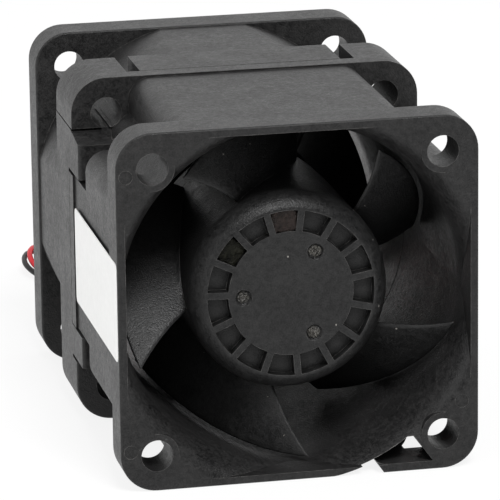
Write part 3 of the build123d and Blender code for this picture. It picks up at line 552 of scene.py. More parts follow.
def tinned_end(x):
    """Twisted, tinned strands: radius = r (1 + 0.09 cos(strands (a - twist y))), with a tapered tip."""
    y = np.linspace(0, TIP_LENGTH, 60)[:, None]
    a = np.linspace(0, 2 * np.pi, 42, endpoint=False)[None, :]
    end = np.sqrt(np.clip((TIP_LENGTH - y) / (0.3 * MM), 0.02, 1))
    r = TIP_R * 0.92 * (1 + 0.09 * np.cos(STRANDS * (a - STRAND_TWIST * y))) * end
    return closed_rows(np.stack([x + r * np.cos(a), TAIL_END + y + 0 * a, TIP_Z + r * np.sin(a)], -1))


def hank_line(lead):
    """A lead's turns: points at fixed stations of a racetrack.

    Radius = outer radius - pitch * column, height = layer; the column and the layer change smoothly along the
    turns: in at the end of the first, up in the second, out in the third."""
    stations = len(STATION_ANGLES)
    last = HANK_TURNS * stations + (1 if lead.layer else 0)
    k = np.arange(last + 1)
    s = k / stations
    angle = np.radians(np.array(STATION_ANGLES)[k % stations])
    end = np.array(STATION_ENDS)[k % stations]
    column = lead.column + 2 * (step(s, *COLUMN_IN) - step(s, *COLUMN_OUT))
    layer = lead.layer + step(s, *LAYER_UP)
    slack = np.where((end < 0) & ((lead.slack > 0) | (s > LOOSE_TURN)), max(lead.slack, 1.0) * MM, 0)
    loose = (end < 0) & (s < LOOSE_TURN)
    share = loose * np.interp(np.degrees(angle), LOOSE_ANGLES, LOOSE_SHARES)
    rise = lead.rise * MM * share
    r = HANK_WIDTH / 2 - LEAD_R - HANK_PITCH * column
    x = HANK_X + end * HANK_END + slack - lead.out * MM * share + r * np.cos(angle)
    y = HANK_Y + r * np.sin(angle)
    z = FLOOR_Z + LEAD_R + HANK_LAYER * layer + rise
    return np.stack([x, y, z], -1)


def lead_line(name):
    """Control points of a lead: out of the wall, beside and behind the fan, round the hank and, by two bends
    down, off to its end."""
    lead = LEADS[name]
    unit = lead.unit
    out = np.radians(LEAD_ANGLE)
    depth = unit.base - LEAD_DEPTH
    depth = FAN_LENGTH - depth if unit.turned else depth
    way = np.array([np.cos(out), 0, np.sin(out)])
    side = np.array([-np.sin(out), 0, np.cos(out)])
    start = WALL_R * way + (0, depth, 0) + side * lead.side * LEAD_PITCH / 2
    route = [start, start + way * LEAD_OUT]
    route += [(HALF + o * MM, share * FAN_LENGTH, FLOOR_Z + h * MM) for o, share, h in BESIDE[name]]
    route += [(HALF + o * MM, FAN_LENGTH + back * MM, FLOOR_Z + h * MM) for o, back, h in BEHIND[name]]
    turns = hank_line(lead)
    x = TAIL_SIDE - TAIL_PITCH * lead.tail
    last = turns[-1]
    drop = last[2] - FLOOR_Z - LEAD_R
    tail = [
        (0.65 * last[0] + 0.35 * x, last[1] + 2.2 * MM, last[2] - 0.25 * drop),
        (0.15 * last[0] + 0.85 * x, TAIL_END - 2.0 * MM, FLOOR_Z + LEAD_R + 0.3 * drop),
        (x, TAIL_END, TIP_Z),
    ]
    return np.concatenate([route, turns, tail])


def round_cord(name, points, settings, material):
    """A lead as a round, smooth curve along its control points."""
    data = bpy.data.curves.new(name + "_line", "CURVE")
    data.dimensions = "3D"
    data.bevel_depth = settings.diameter / 2
    data.bevel_resolution = settings.sides
    data.resolution_u = 8
    data.use_fill_caps = True
    spline = data.splines.new("NURBS")
    spline.points.add(len(points) - 1)
    spline.points.foreach_set("co", np.concatenate([points, np.ones((len(points), 1))], 1).ravel())
    spline.order_u = 3
    spline.use_endpoint_u = True
    data.materials.append(material)
    cord = bpy.data.objects.new(name + "_cord", data)
    bpy.context.scene.collection.objects.link(cord)
    return cord


# Finishes

# How much the edges of a finish are rubbed and given a painted highlight, and to what pale colour
RUB_AND_HIGHLIGHT = {"frame_plastic": 0.8, "impeller_plastic": 0.7}
RUB_AND_HIGHLIGHT_COLOUR = (0.16, 0.155, 0.15)
RUB_AND_HIGHLIGHT_R = 0.12 * MM
RUB_AND_HIGHLIGHT_GRAIN = 900.0

# The impellers' painted shade in corners and pockets: its near-black colour, and how far from a wall it
# reaches
PAINTED_SHADE_COLOUR = (0.0008, 0.0008, 0.0008)
PAINTED_SHADE_REACH = 1.3 * MM

# Pale flecks: cells and patches to a metre, how bright a patch is that holds any, and their size in a cell
FLECK_CELLS = 900
FLECK_PATCHES = 700.0
FLECK_RARE = 0.64
FLECK_R = 0.12

# Lathe lines to a metre along the shaft and across it, and stains to a metre on metal and on wire
LATHE_PITCH = 4000
LATHE_ALONG = 60
STAIN_SIZE = 500.0
WIRE_STAIN_SIZE = 900.0


def new_group(name, inputs, outputs):
    """An empty shader node group with number inputs (name, default) and number outputs."""
    tree = bpy.data.node_groups.new(name, "ShaderNodeTree")
    for label, default in inputs:
        socket = tree.interface.new_socket(name=label, in_out="INPUT", socket_type="NodeSocketFloat")
        socket.default_value = default
    for label in outputs:
        tree.interface.new_socket(name=label, in_out="OUTPUT", socket_type="NodeSocketFloat")
    return tree, tree.nodes.new("NodeGroupInput"), tree.nodes.new("NodeGroupOutput")


def pattern_group(name):
    """The group of a pattern: its scale and share of flecks in, its height, tone and flecks out."""
    return new_group(name, [("Scale", 4000.0), ("Flecks", 0.2)], ["Height", "Tone", "Fleck"])


def math_node(tree, operation, a, b):
    """A math node; a and b are sockets or numbers."""
    node = tree.nodes.new("ShaderNodeMath")
    node.operation = operation
    for socket, value in zip(node.inputs, (a, b)):
        if isinstance(value, (int, float)):
            socket.default_value = value
        else:
            tree.links.new(value, socket)
    return node.outputs[0]


def noise(tree, vector, scale, detail=3.0, rough=0.6):
    """A noise texture; scale is a socket or a number."""
    node = tree.nodes.new("ShaderNodeTexNoise")
    tree.links.new(vector, node.inputs["Vector"])
    node.inputs["Detail"].default_value = detail
    node.inputs["Roughness"].default_value = rough
    if isinstance(scale, (int, float)):
        node.inputs["Scale"].default_value = scale
    else:
        tree.links.new(scale, node.inputs["Scale"])
    return node.outputs["Fac"]


def stretched(tree, vector, scale):
    """Object coordinates scaled along each axis."""
    node = tree.nodes.new("ShaderNodeMapping")
    node.inputs["Scale"].default_value = scale
    tree.links.new(vector, node.inputs["Vector"])
    return node.outputs["Vector"]


def object_point(tree):
    """The point in the piece's own coordinates, which are the fan's."""
    return tree.nodes.new("ShaderNodeTexCoord").outputs["Object"]


def shaft_rings(tree, point, scale, distortion):
    """A wave of rings about the shaft's direction."""
    node = tree.nodes.new("ShaderNodeTexWave")
    node.wave_type = "RINGS"
    node.rings_direction = "Y"
    node.inputs["Distortion"].default_value = distortion
    tree.links.new(scale, node.inputs["Scale"])
    tree.links.new(point, node.inputs["Vector"])
    return node.outputs["Fac"]


def map_range(tree, value, lo, hi, to_lo=0.0, to_hi=1.0):
    """Carries a value from one range to another, held at both ends."""
    node = tree.nodes.new("ShaderNodeMapRange")
    tree.links.new(value, node.inputs["Value"])
    for socket, number in zip(("From Min", "From Max", "To Min", "To Max"), (lo, hi, to_lo, to_hi)):
        node.inputs[socket].default_value = number
    return node.outputs["Result"]


def weighted(tree, *terms):
    """The sum of sockets, each times its share."""
    total = None
    for socket, share in terms:
        part = math_node(tree, "MULTIPLY", socket, share)
        total = part if total is None else math_node(tree, "ADD", total, part)
    return total


def moulded_grain_group():
    """Grain of moulded plastic: spark-eroded pits as its height, their tone with a slow stain, and rare pale
    flecks."""
    tree, start, end = pattern_group("moulded_grain")
    point = object_point(tree)
    size = start.outputs["Scale"]
    fine = noise(tree, point, size, 2, 0.5)
    middle = noise(tree, point, math_node(tree, "MULTIPLY", size, 0.3), 3, 0.6)
    slow = noise(tree, point, math_node(tree, "MULTIPLY", size, 0.05), 2, 0.5)
    tree.links.new(weighted(tree, (fine, 1.0), (middle, 0.3)), end.inputs["Height"])
    tone = weighted(tree, (fine, 0.4), (middle, 0.4), (slow, 0.2))
    tree.links.new(map_range(tree, tone, 0.38, 0.62), end.inputs["Tone"])
    spots = tree.nodes.new("ShaderNodeTexVoronoi")
    spots.inputs["Scale"].default_value = FLECK_CELLS
    tree.links.new(point, spots.inputs["Vector"])
    small = math_node(tree, "LESS_THAN", spots.outputs["Distance"], FLECK_R)
    rare = math_node(tree, "GREATER_THAN", noise(tree, point, FLECK_PATCHES, 2), FLECK_RARE)
    both = math_node(tree, "MULTIPLY", small, rare)
    tree.links.new(math_node(tree, "MULTIPLY", both, start.outputs["Flecks"]), end.inputs["Fleck"])
    return tree


def edge_rub_and_highlight_group():
    """Rubbed edges with a painted highlight: where a rounded normal leaves the true one, broken up by a
    noise.
    """
    tree, start, end = new_group("edge_wear", [("Amount", 0.5)], ["Wear"])
    rounded = tree.nodes.new("ShaderNodeBevel")
    rounded.inputs["Radius"].default_value = RUB_AND_HIGHLIGHT_R
    true = tree.nodes.new("ShaderNodeNewGeometry").outputs["Normal"]
    turn = tree.nodes.new("ShaderNodeVectorMath")
    turn.operation = "DOT_PRODUCT"
    tree.links.new(rounded.outputs["Normal"], turn.inputs[0])
    tree.links.new(true, turn.inputs[1])
    # painted highlight together with rubbing: strongest where the rounded normal turns furthest from the true
    # one
    edge = map_range(tree, turn.outputs["Value"], 0.995, 0.8)
    broken = map_range(tree, noise(tree, object_point(tree), RUB_AND_HIGHLIGHT_GRAIN, 4, 0.7), 0.42, 0.62, 0.15, 1.0)
    rub_and_highlight = math_node(tree, "MULTIPLY", edge, math_node(tree, "MULTIPLY", broken, start.outputs["Amount"]))
    tree.links.new(rub_and_highlight, end.inputs["Wear"])
    return tree


def turned_lines_group():
    """Lathe lines of turned metal: rings about the shaft and slow stains."""
    tree, start, end = pattern_group("turned_lines")
    point = object_point(tree)
    rings = shaft_rings(tree, point, start.outputs["Scale"], 1.5)
    lines = noise(tree, stretched(tree, point, (LATHE_ALONG, LATHE_PITCH, LATHE_ALONG)), 1.0, 2)
    height = math_node(tree, "ADD", math_node(tree, "MULTIPLY", rings, 0.5), lines)
    tree.links.new(height, end.inputs["Height"])
    stain = noise(tree, point, STAIN_SIZE, 4)
    tree.links.new(map_range(tree, stain, 0.3, 0.7), end.inputs["Tone"])
    dark = math_node(tree, "GREATER_THAN", stain, 0.66)
    tree.links.new(math_node(tree, "MULTIPLY", dark, start.outputs["Flecks"]), end.inputs["Fleck"])
    return tree


def wound_wire_group():
    """Enamelled wires side by side, as rings about the shaft."""
    tree, start, end = pattern_group("wound_wire")
    point = object_point(tree)
    wires = shaft_rings(tree, point, start.outputs["Scale"], 0.4)
    tree.links.new(wires, end.inputs["Height"])
    slow = noise(tree, point, WIRE_STAIN_SIZE, 3)
    tree.links.new(math_node(tree, "MULTIPLY", slow, wires), end.inputs["Tone"])
    gap = math_node(tree, "LESS_THAN", wires, 0.2)
    tree.links.new(math_node(tree, "MULTIPLY", gap, start.outputs["Flecks"]), end.inputs["Fleck"])
    return tree


class Finish(NamedTuple):
    """A finish: its pattern and the pattern's scale, its darker and lighter tone, its flecks' colour, the
    range of its roughness, the strength and height, in millimetres, of its bumps, how strong its flecks are,
    and its coat of varnish."""

    pattern: str
    scale: float
    colour: tuple
    second: tuple
    fleck: tuple
    rough: tuple
    metallic: float = 0
    specular: float = 0.5
    bump: float = 0.15
    height: float = 0.01
    flecks: float = 0.3
    coat: float = 0


FINISHES = {
    "frame_plastic": Finish(
        "moulded_grain", 5200, (0.007, 0.007, 0.0072), (0.026, 0.0255, 0.0255), (0.12, 0.12, 0.115),
        rough=(0.32, 0.55), specular=0.26, bump=0.9, height=0.055,
    ),
    "impeller_plastic": Finish(
        "moulded_grain", 5600, (0.007, 0.007, 0.0072), (0.024, 0.024, 0.024), (0.25, 0.24, 0.22),
        rough=(0.3, 0.5), specular=0.26, bump=0.9, height=0.06, flecks=0.8,
    ),
    "torn_plastic": Finish(
        "moulded_grain", 5200, (0.01, 0.01, 0.01), (0.09, 0.085, 0.075), (0.5, 0.47, 0.4),
        rough=(0.3, 0.55), bump=0.8, height=0.06, flecks=1.0,
    ),
    "brown_putty": Finish(
        "moulded_grain", 2600, (0.006, 0.0045, 0.004), (0.024, 0.0175, 0.0155), (0.25, 0.2, 0.16),
        rough=(0.4, 0.65), specular=0.15, bump=1.0, height=0.3, flecks=0.8,
    ),
    "dark_putty": Finish(
        "moulded_grain", 2200, (0.002, 0.002, 0.0015), (0.014, 0.014, 0.01), (0.16, 0.15, 0.12),
        rough=(0.45, 0.7), specular=0.08, bump=1.0, height=0.4, flecks=0.8,
    ),
    "label_paper": Finish(
        "moulded_grain", 1800, (0.78, 0.78, 0.77), (0.84, 0.84, 0.83), (0.6, 0.6, 0.58),
        rough=(0.38, 0.5), specular=0.4, bump=0.08, flecks=0.15, coat=0.1,
    ),
    "black_insulation": Finish(
        "moulded_grain", 3500, (0.005, 0.005, 0.0055), (0.011, 0.011, 0.012), (0.1, 0.1, 0.1),
        rough=(0.28, 0.42), specular=0.28, flecks=0.1,
    ),
    "red_insulation": Finish(
        "moulded_grain", 3500, (0.48, 0.014, 0.022), (0.6, 0.024, 0.036), (0.7, 0.4, 0.4),
        rough=(0.28, 0.42), specular=0.3, flecks=0.1,
    ),
    "tie_plastic": Finish(
        "moulded_grain", 3600, (0.008, 0.008, 0.0085), (0.02, 0.02, 0.02), (0.15, 0.15, 0.15),
        rough=(0.3, 0.5), specular=0.3, bump=0.5, height=0.04, flecks=0.1,
    ),
    "tin": Finish(
        "turned_lines", 5000, (0.62, 0.62, 0.6), (0.72, 0.71, 0.69), (0.3, 0.3, 0.3),
        rough=(0.22, 0.38), metallic=1,
    ),
    "bright_steel": Finish(
        "turned_lines", 5200, (0.54, 0.54, 0.53), (0.62, 0.62, 0.61), (0.3, 0.28, 0.26),
        rough=(0.14, 0.3), metallic=1, bump=0.12,
    ),
    "drawn_steel": Finish(
        "turned_lines", 3200, (0.33, 0.33, 0.33), (0.42, 0.42, 0.41), (0.2, 0.18, 0.16),
        rough=(0.3, 0.48), metallic=1, bump=0.2, height=0.02, flecks=0.5,
    ),
    "brass": Finish(
        "turned_lines", 4200, (0.66, 0.47, 0.19), (0.75, 0.56, 0.27), (0.35, 0.22, 0.09),
        rough=(0.2, 0.36), metallic=1, flecks=0.4,
    ),
    "ferrite": Finish(
        "moulded_grain", 3800, (0.035, 0.034, 0.034), (0.055, 0.053, 0.052), (0.12, 0.11, 0.1),
        rough=(0.55, 0.75), specular=0.45, bump=0.4, height=0.03,
    ),
    "core_lamination": Finish(
        "turned_lines", 2200, (0.2, 0.21, 0.23), (0.29, 0.3, 0.31), (0.16, 0.1, 0.06),
        rough=(0.35, 0.5), metallic=1, bump=0.35, height=0.03, flecks=0.5,
    ),
    "insulator_nylon": Finish(
        "moulded_grain", 3600, (0.62, 0.58, 0.48), (0.7, 0.67, 0.58), (0.4, 0.36, 0.3),
        rough=(0.4, 0.55), height=0.02, flecks=0.2,
    ),
    "copper_winding": Finish(
        "wound_wire", 620, (0.5, 0.16, 0.055), (0.66, 0.27, 0.1), (0.12, 0.03, 0.012),
        rough=(0.18, 0.34), metallic=1, bump=0.7, height=0.08, flecks=0.8, coat=0.3,
    ),
    "board_laminate": Finish(
        "moulded_grain", 3000, (0.012, 0.1, 0.045), (0.02, 0.14, 0.065), (0.5, 0.45, 0.3),
        rough=(0.25, 0.4), height=0.02, flecks=0.25, coat=0.3,
    ),
    "chip_resin": Finish(
        "moulded_grain", 4600, (0.02, 0.02, 0.022), (0.034, 0.034, 0.036), (0.3, 0.3, 0.3),
        rough=(0.35, 0.55), bump=0.3, height=0.02, flecks=0.4,
    ),
    "shield_steel": Finish(
        "turned_lines", 4600, (0.45, 0.45, 0.45), (0.52, 0.52, 0.51), (0.25, 0.24, 0.22),
        rough=(0.2, 0.35), metallic=1,
    ),
    "spring_wire": Finish(
        "turned_lines", 3600, (0.36, 0.37, 0.38), (0.46, 0.46, 0.47), (0.2, 0.18, 0.16),
        rough=(0.22, 0.4), metallic=1, flecks=0.4,
    ),
}

NODE_FINISHES = {
    "bearing_sleeve": "brass",
    "bearing_outer_rings": "bright_steel",
    "bearing_inner_rings": "bright_steel",
    "bearing_balls": "bright_steel",
    "bearing_shields": "shield_steel",
    "shaft": "bright_steel",
    "retaining_ring": "spring_wire",
    "shaft_bush": "brass",
    "preload_spring": "spring_wire",
    "stator_core": "core_lamination",
    "insulator_front": "insulator_nylon",
    "insulator_rear": "insulator_nylon",
    "coils": "copper_winding",
    "circuit_board": "board_laminate",
    "board_parts": "chip_resin",
    "winding_pins": "tin",
    "yoke": "drawn_steel",
    "magnet": "ferrite",
}

PATTERNS = {
    "moulded_grain": moulded_grain_group,
    "turned_lines": turned_lines_group,
    "wound_wire": wound_wire_group,
}


def finish(name):
    """The material of that finish, made once: two colours mixed by the pattern's tone, flecks over them."""
    title = name + "_finish"
    if title in bpy.data.materials:
        return bpy.data.materials[title]
    look = FINISHES[name]
    second = tuple(getattr(bpy.context.scene.fan_finishes, name, look.second))
    material = bpy.data.materials.new(title)
    material.use_nodes = True
    tree = material.node_tree
    shader = tree.nodes["Principled BSDF"]
    texture = tree.nodes.new("ShaderNodeGroup")
    texture.node_tree = bpy.data.node_groups.get(look.pattern) or PATTERNS[look.pattern]()
    texture.inputs["Scale"].default_value = look.scale
    texture.inputs["Flecks"].default_value = look.flecks
    base = mixed(tree, texture.outputs["Tone"], look.colour, second)
    base = mixed(tree, texture.outputs["Fleck"], base, look.fleck)
    # painted shade: corners, pockets and hub sides of the impellers darkened towards near black by how
    # enclosed they are
    if name == "impeller_plastic":
        base = mixed(tree, painted_shade(tree), base, PAINTED_SHADE_COLOUR)
    # painted highlight together with rubbing: a pale colour along the edges of the frames and impellers
    if name in RUB_AND_HIGHLIGHT:
        rub_and_highlight = tree.nodes.new("ShaderNodeGroup")
        rub_and_highlight.node_tree = bpy.data.node_groups.get("edge_wear") or edge_rub_and_highlight_group()
        rub_and_highlight.inputs["Amount"].default_value = RUB_AND_HIGHLIGHT[name]
        base = mixed(tree, rub_and_highlight.outputs["Wear"], base, RUB_AND_HIGHLIGHT_COLOUR)
    tree.links.new(base, shader.inputs["Base Color"])
    rough = map_range(tree, texture.outputs["Tone"], 0.0, 1.0, *look.rough)
    tree.links.new(rough, shader.inputs["Roughness"])
    bump = tree.nodes.new("ShaderNodeBump")
    bump.inputs["Strength"].default_value = look.bump
    bump.inputs["Distance"].default_value = look.height * MM
    tree.links.new(texture.outputs["Height"], bump.inputs["Height"])
    tree.links.new(bump.outputs["Normal"], shader.inputs["Normal"])
    shader.inputs["Metallic"].default_value = look.metallic
    shader.inputs["Specular IOR Level"].default_value = look.specular
    shader.inputs["Coat Weight"].default_value = look.coat
    material.diffuse_color = (*look.colour, 1)
    return material


def mixed(tree, share, a, b):
    """A colour between a and b; each is a colour or a socket."""
    node = tree.nodes.new("ShaderNodeMix")
    node.data_type = "RGBA"
    tree.links.new(share, node.inputs["Factor"])
    for socket, value in zip((node.inputs[6], node.inputs[7]), (a, b)):
        if isinstance(value, tuple):
            socket.default_value = (*value, 1)
        else:
            tree.links.new(value, socket)
    return node.outputs[2]


def painted_shade(tree):
    """Share of painted shade: 1 deep in a corner or a pocket and 0 in the open."""
    # painted shade: the ambient occlusion of the impeller turned into a darkening of its colour
    node = tree.nodes.new("ShaderNodeAmbientOcclusion")
    node.inputs["Distance"].default_value = PAINTED_SHADE_REACH
    return map_range(tree, node.outputs["AO"], 0.4, 0.95, 0.9, 0.0)


def dress(node, name):
    """Gives a CAD node its finish."""
    mesh = NODES[node].data
    mesh.materials.clear()
    mesh.materials.append(finish(name))


# Stage: places and sizes of the lamps, the floor, the camera's sensor, and the ways, as their Y, before which
# reflections are dim and behind which they are white
KEY_PLACE = (0.05, -0.56, 0.82)
KEY_SIZE = 0.3
FILL_PLACE = (-0.66, -0.28, 0.28)
FILL_SIZE = 0.4
FLOOR_REACH = 3.0
FLOOR_CORNERS = ((-1, -1), (1, -1), (1, 1), (-1, 1))
FLOOR_GAP = 0.02 * MM
FLOOR_GLOW = 0.85
SENSOR = 36
DIM_BEFORE = -0.9
WHITE_BEHIND = 0.2


# Settings


def tone_property(label, name):
    """A colour setting that starts from the light tone of that finish."""
    return bpy.props.FloatVectorProperty(
        name=label,
        description=f"Light tone of the finish {name}",
        default=FINISHES[name].second,
        subtype="COLOR",
        min=0,
        max=1,
        precision=4,
    )


class FanStageSettings(bpy.types.PropertyGroup):
    """The camera, the lamps and the floor."""

    lens: bpy.props.FloatProperty(
        name="Lens",
        description="Focal length of the camera",
        default=319.9,
        unit="CAMERA",
    )
    distance: bpy.props.FloatProperty(
        name="Distance",
        description="From the camera to its target",
        default=0.4779,
        unit="LENGTH",
    )
    yaw: bpy.props.FloatProperty(
        name="Yaw",
        description="Camera's turn about Z",
        default=math.radians(-12.05),
        subtype="ANGLE",
    )
    pitch: bpy.props.FloatProperty(
        name="Pitch",
        description="Camera's height over the floor",
        default=math.radians(15.34),
        subtype="ANGLE",
    )
    roll: bpy.props.FloatProperty(
        name="Roll",
        description="Camera's turn about its view",
        default=math.radians(-0.72),
        subtype="ANGLE",
    )
    target: bpy.props.FloatVectorProperty(
        name="Target",
        description="Point that the camera looks at",
        default=(-0.00546, 0, 0.00642),
        subtype="XYZ",
        unit="LENGTH",
        precision=5,
    )
    sky: bpy.props.FloatProperty(
        name="Sky",
        description="Strength of the white surroundings",
        default=0.62,
        min=0,
    )
    front: bpy.props.FloatProperty(
        name="Front",
        description="Share of white that reflections find before the fan",
        default=0.12,
        min=0,
        max=1,
    )
    key: bpy.props.FloatProperty(
        name="Key lamp",
        description="Power of the lamp over the front",
        default=7.3,
        unit="POWER",
    )
    fill: bpy.props.FloatProperty(
        name="Fill lamp",
        description="Power of the lamp on the left",
        default=1.1,
        unit="POWER",
    )
    floor: bpy.props.FloatVectorProperty(
        name="Floor",
        description="Colour of the floor",
        default=(0.98, 0.98, 0.98),
        subtype="COLOR",
        min=0,
        max=1,
    )


class FanFinishSettings(bpy.types.PropertyGroup):
    """Light tone of the finishes that are seen most; each mixes it with a darker one in its grain."""

    frame_plastic: tone_property("Frames", "frame_plastic")
    impeller_plastic: tone_property("Impellers", "impeller_plastic")
    label_paper: tone_property("Label", "label_paper")
    red_insulation: tone_property("Red leads", "red_insulation")
    black_insulation: tone_property("Black leads", "black_insulation")
    brown_putty: tone_property("Balance putty", "brown_putty")


class FanLeadSettings(bpy.types.PropertyGroup):
    """The leads."""

    diameter: bpy.props.FloatProperty(
        name="Diameter",
        description="Lead over its insulation",
        default=2 * LEAD_R,
        unit="LENGTH",
        precision=5,
    )
    sides: bpy.props.IntProperty(
        name="Roundness",
        description="Steps round a quarter of a lead",
        default=3,
        min=1,
    )


# Operators


class FAN_OT_frames(bpy.types.Operator):
    """Give both frames their moulded plastic"""

    bl_idname = "fan.frames"
    bl_label = "Frames"

    def execute(self, context):
        for node in ("inlet_frame", "outlet_frame"):
            dress(node, "frame_plastic")
        return {"FINISHED"}


class FAN_OT_motors(bpy.types.Operator):
    """Give every piece of both motors its finish"""

    bl_idname = "fan.motors"
    bl_label = "Motors"

    def execute(self, context):
        for unit in ("inlet", "outlet"):
            for node, name in NODE_FINISHES.items():
                dress(f"{unit}_{node}", name)
            dress(f"{unit}_lead_tails", "black_insulation")
        return {"FINISHED"}


class FAN_OT_impellers(bpy.types.Operator):
    """Make both impellers"""

    bl_idname = "fan.impellers"
    bl_label = "Impellers"

    def execute(self, context):
        for unit in (INLET, OUTLET):
            impeller(unit, finish("impeller_plastic"))
            scars = [gate_scar(unit, n) for n in range(len(GATE_ANGLES))]
            torn = surface(f"{unit.name}_gate_scars", scars, finish("torn_plastic"), f"{unit.name}_rotor", 60)
            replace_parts(torn, f"{unit.name}_impeller")
        return {"FINISHED"}


class FAN_OT_putty(bpy.types.Operator):
    """Press balance putty into the hubs' pockets"""

    bl_idname = "fan.putty"
    bl_label = "Balance putty"

    def execute(self, context):
        for unit in (INLET, OUTLET):
            for n, (angle, fill) in enumerate(unit.putty):
                name = "brown_putty" if n == 0 else "dark_putty"
                shell = putty_lump(unit, angle, fill, 1.3 + 2.1 * n)
                piece = surface(f"{unit.name}_putty_{n + 1}", [shell], finish(name), f"{unit.name}_rotor")
                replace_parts(piece, f"{unit.name}_balance_putty")
        return {"FINISHED"}


class FAN_OT_label(bpy.types.Operator):
    """Make the bare label on the left side"""

    bl_idname = "fan.label"
    bl_label = "Label"

    def execute(self, context):
        piece = surface("bare_label", [label_sheet()], finish("label_paper"), "housing", 60)
        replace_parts(piece, "rating_label")
        return {"FINISHED"}


class FAN_OT_leads(bpy.types.Operator):
    """Lay the four leads, fold them into the hank and tin their ends"""

    bl_idname = "fan.leads"
    bl_label = "Leads"

    def execute(self, context):
        settings = context.scene.fan_leads
        for name, lead in LEADS.items():
            points = lead_line(name)
            cord = round_cord(name, points, settings, finish(name.split("_")[-1] + "_insulation"))
            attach(cord, "housing")
            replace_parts(cord, name, "lead_hank")
            x = TAIL_SIDE - TAIL_PITCH * lead.tail
            tip = surface(name + "_tinned_end", [tinned_end(x)], finish("tin"), "housing")
            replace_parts(tip, "lead_tinned_ends")
        return {"FINISHED"}


class FAN_OT_tie(bpy.types.Operator):
    """Make the tie round the folded leads"""

    bl_idname = "fan.tie"
    bl_label = "Tie"

    def execute(self, context):
        piece = surface("hank_tie_ribbon", [tie_loop()], finish("tie_plastic"), "housing")
        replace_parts(piece, "hank_tie")
        return {"FINISHED"}


class FAN_OT_stage(bpy.types.Operator):
    """Set the floor, the white surroundings, the lamps and the camera"""

    bl_idname = "fan.stage"
    bl_label = "Stage"

    def execute(self, context):
        settings = context.scene.fan_stage
        stage_floor(context.scene, settings)
        white_world(context.scene, settings)
        soft_lamp(context.scene, "key_lamp", KEY_PLACE, KEY_SIZE, settings.key)
        soft_lamp(context.scene, "fill_lamp", FILL_PLACE, FILL_SIZE, settings.fill)
        set_camera(context.scene, settings)
        context.scene.view_settings.view_transform = "Standard"
        return {"FINISHED"}


def seen_rays(tree):
    """1 for camera, glossy and transmission rays."""
    path = tree.nodes.new("ShaderNodeLightPath")
    seen = math_node(tree, "MAXIMUM", path.outputs["Is Camera Ray"], path.outputs["Is Glossy Ray"])
    return math_node(tree, "MAXIMUM", seen, path.outputs["Is Transmission Ray"])


def stage_floor(scene, settings):
    """A plain floor, lifted towards white where it is seen, so that only soft shadows stay on it."""
    mesh = bpy.data.meshes.new("floor")
    corners = [(x * FLOOR_REACH, y * FLOOR_REACH, FLOOR_Z - FLOOR_GAP) for x, y in FLOOR_CORNERS]
    mesh.from_pydata(corners, [], [(0, 1, 2, 3)])
    material = bpy.data.materials.new("floor_white")
    material.use_nodes = True
    tree = material.node_tree
    shader = tree.nodes["Principled BSDF"]
    shader.inputs["Base Color"].default_value = (*settings.floor, 1)
    shader.inputs["Roughness"].default_value = 0.9
    shader.inputs["Specular IOR Level"].default_value = 0.1
    glow = tree.nodes.new("ShaderNodeEmission")
    glow.inputs["Strength"].default_value = 1.0
    blend = tree.nodes.new("ShaderNodeMixShader")
    tree.links.new(math_node(tree, "MULTIPLY", seen_rays(tree), FLOOR_GLOW), blend.inputs[0])
    tree.links.new(shader.outputs[0], blend.inputs[1])
    tree.links.new(glow.outputs[0], blend.inputs[2])
    tree.links.new(blend.outputs[0], tree.nodes["Material Output"].inputs["Surface"])
    mesh.materials.append(material)
    floor = bpy.data.objects.new("floor", mesh)
    scene.collection.objects.link(floor)


def white_world(scene, settings):
    """White where it is seen, and softer as a light. Reflections find it white behind and beside the fan and
    dimmer before it, as in a studio with its lights and paper behind the thing."""
    world = bpy.data.worlds.new("white_surroundings")
    scene.world = world
    world.use_nodes = True
    tree = world.node_tree
    light = tree.nodes["Background"]
    light.inputs["Color"].default_value = (1, 1, 1, 1)
    light.inputs["Strength"].default_value = settings.sky
    white = tree.nodes.new("ShaderNodeBackground")
    white.inputs["Color"].default_value = (1, 1, 1, 1)
    way = tree.nodes.new("ShaderNodeSeparateXYZ")
    tree.links.new(tree.nodes.new("ShaderNodeTexCoord").outputs["Generated"], way.inputs[0])
    depth = tree.nodes.new("ShaderNodeMapRange")
    depth.interpolation_type = "SMOOTHSTEP"
    depth.inputs["From Min"].default_value = DIM_BEFORE
    depth.inputs["From Max"].default_value = WHITE_BEHIND
    depth.inputs["To Min"].default_value = settings.front
    tree.links.new(way.outputs["Y"], depth.inputs["Value"])
    camera = tree.nodes.new("ShaderNodeLightPath").outputs["Is Camera Ray"]
    tree.links.new(math_node(tree, "MAXIMUM", camera, depth.outputs["Result"]), white.inputs["Strength"])
    blend = tree.nodes.new("ShaderNodeMixShader")
    tree.links.new(seen_rays(tree), blend.inputs[0])
    tree.links.new(light.outputs[0], blend.inputs[1])
    tree.links.new(white.outputs[0], blend.inputs[2])
    tree.links.new(blend.outputs[0], tree.nodes["World Output"].inputs["Surface"])


def soft_lamp(scene, name, position, size, power):
    """A square area lamp that faces the fan."""
    data = bpy.data.lights.new(name, "AREA")
    data.size = size
    data.energy = power
    lamp = bpy.data.objects.new(name, data)
    lamp.location = position
    lamp.rotation_euler = Vector(position).to_track_quat("Z", "Y").to_euler()
    scene.collection.objects.link(lamp)


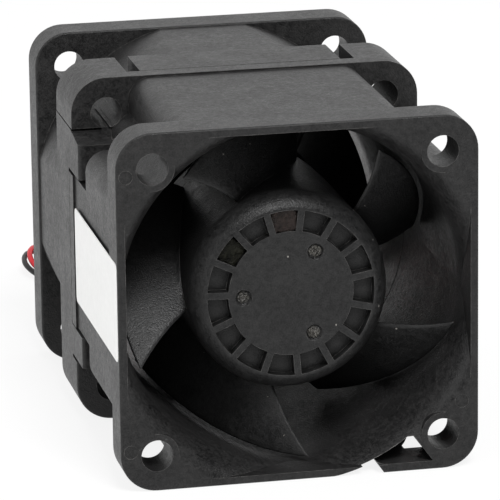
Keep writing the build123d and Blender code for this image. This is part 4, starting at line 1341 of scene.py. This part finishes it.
def set_camera(scene, settings):
    """The camera looks at its target from the photograph's angle."""
    yaw, pitch, roll = settings.yaw, settings.pitch, settings.roll
    back = Vector((math.sin(yaw) * math.cos(pitch), -math.cos(yaw) * math.cos(pitch), math.sin(pitch)))
    right = (-back).cross(Vector((0, 0, 1))).normalized()
    up = right.cross(-back)
    side = math.cos(roll) * right + math.sin(roll) * up
    rise = math.cos(roll) * up - math.sin(roll) * right
    data = bpy.data.cameras.new("camera")
    data.lens = settings.lens
    data.sensor_width = SENSOR
    camera = bpy.data.objects.new("camera", data)
    pose = Matrix((side, rise, back)).transposed().to_4x4()
    pose.translation = Vector(settings.target) + settings.distance * back
    camera.matrix_world = pose
    scene.collection.objects.link(camera)
    scene.camera = camera


STEPS = (
    FAN_OT_stage,
    FAN_OT_frames,
    FAN_OT_impellers,
    FAN_OT_putty,
    FAN_OT_label,
    FAN_OT_motors,
    FAN_OT_leads,
    FAN_OT_tie,
)


class FAN_PT_panel(bpy.types.Panel):
    """Lists the fan's pieces in the sidebar"""

    bl_label = "Fan"
    bl_idname = "FAN_PT_panel"
    bl_space_type = "VIEW_3D"
    bl_region_type = "UI"
    bl_category = "Fan"

    def draw(self, context):
        for operator in STEPS:
            self.layout.operator(operator.bl_idname)
        for group in (context.scene.fan_stage, context.scene.fan_finishes, context.scene.fan_leads):
            for name in group.__annotations__:
                self.layout.prop(group, name)


CLASSES = (FanStageSettings, FanFinishSettings, FanLeadSettings, *STEPS, FAN_PT_panel)


def register():
    for cls in CLASSES:
        bpy.utils.register_class(cls)
    bpy.types.Scene.fan_stage = bpy.props.PointerProperty(type=FanStageSettings)
    bpy.types.Scene.fan_finishes = bpy.props.PointerProperty(type=FanFinishSettings)
    bpy.types.Scene.fan_leads = bpy.props.PointerProperty(type=FanLeadSettings)


def unregister():
    del bpy.types.Scene.fan_leads
    del bpy.types.Scene.fan_finishes
    del bpy.types.Scene.fan_stage
    for cls in reversed(CLASSES):
        bpy.utils.unregister_class(cls)


def main():
    """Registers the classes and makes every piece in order."""
    register()
    for operator in STEPS:
        group, name = operator.bl_idname.split(".")
        getattr(getattr(bpy.ops, group), name)()


if __name__ == "__main__":
    main()
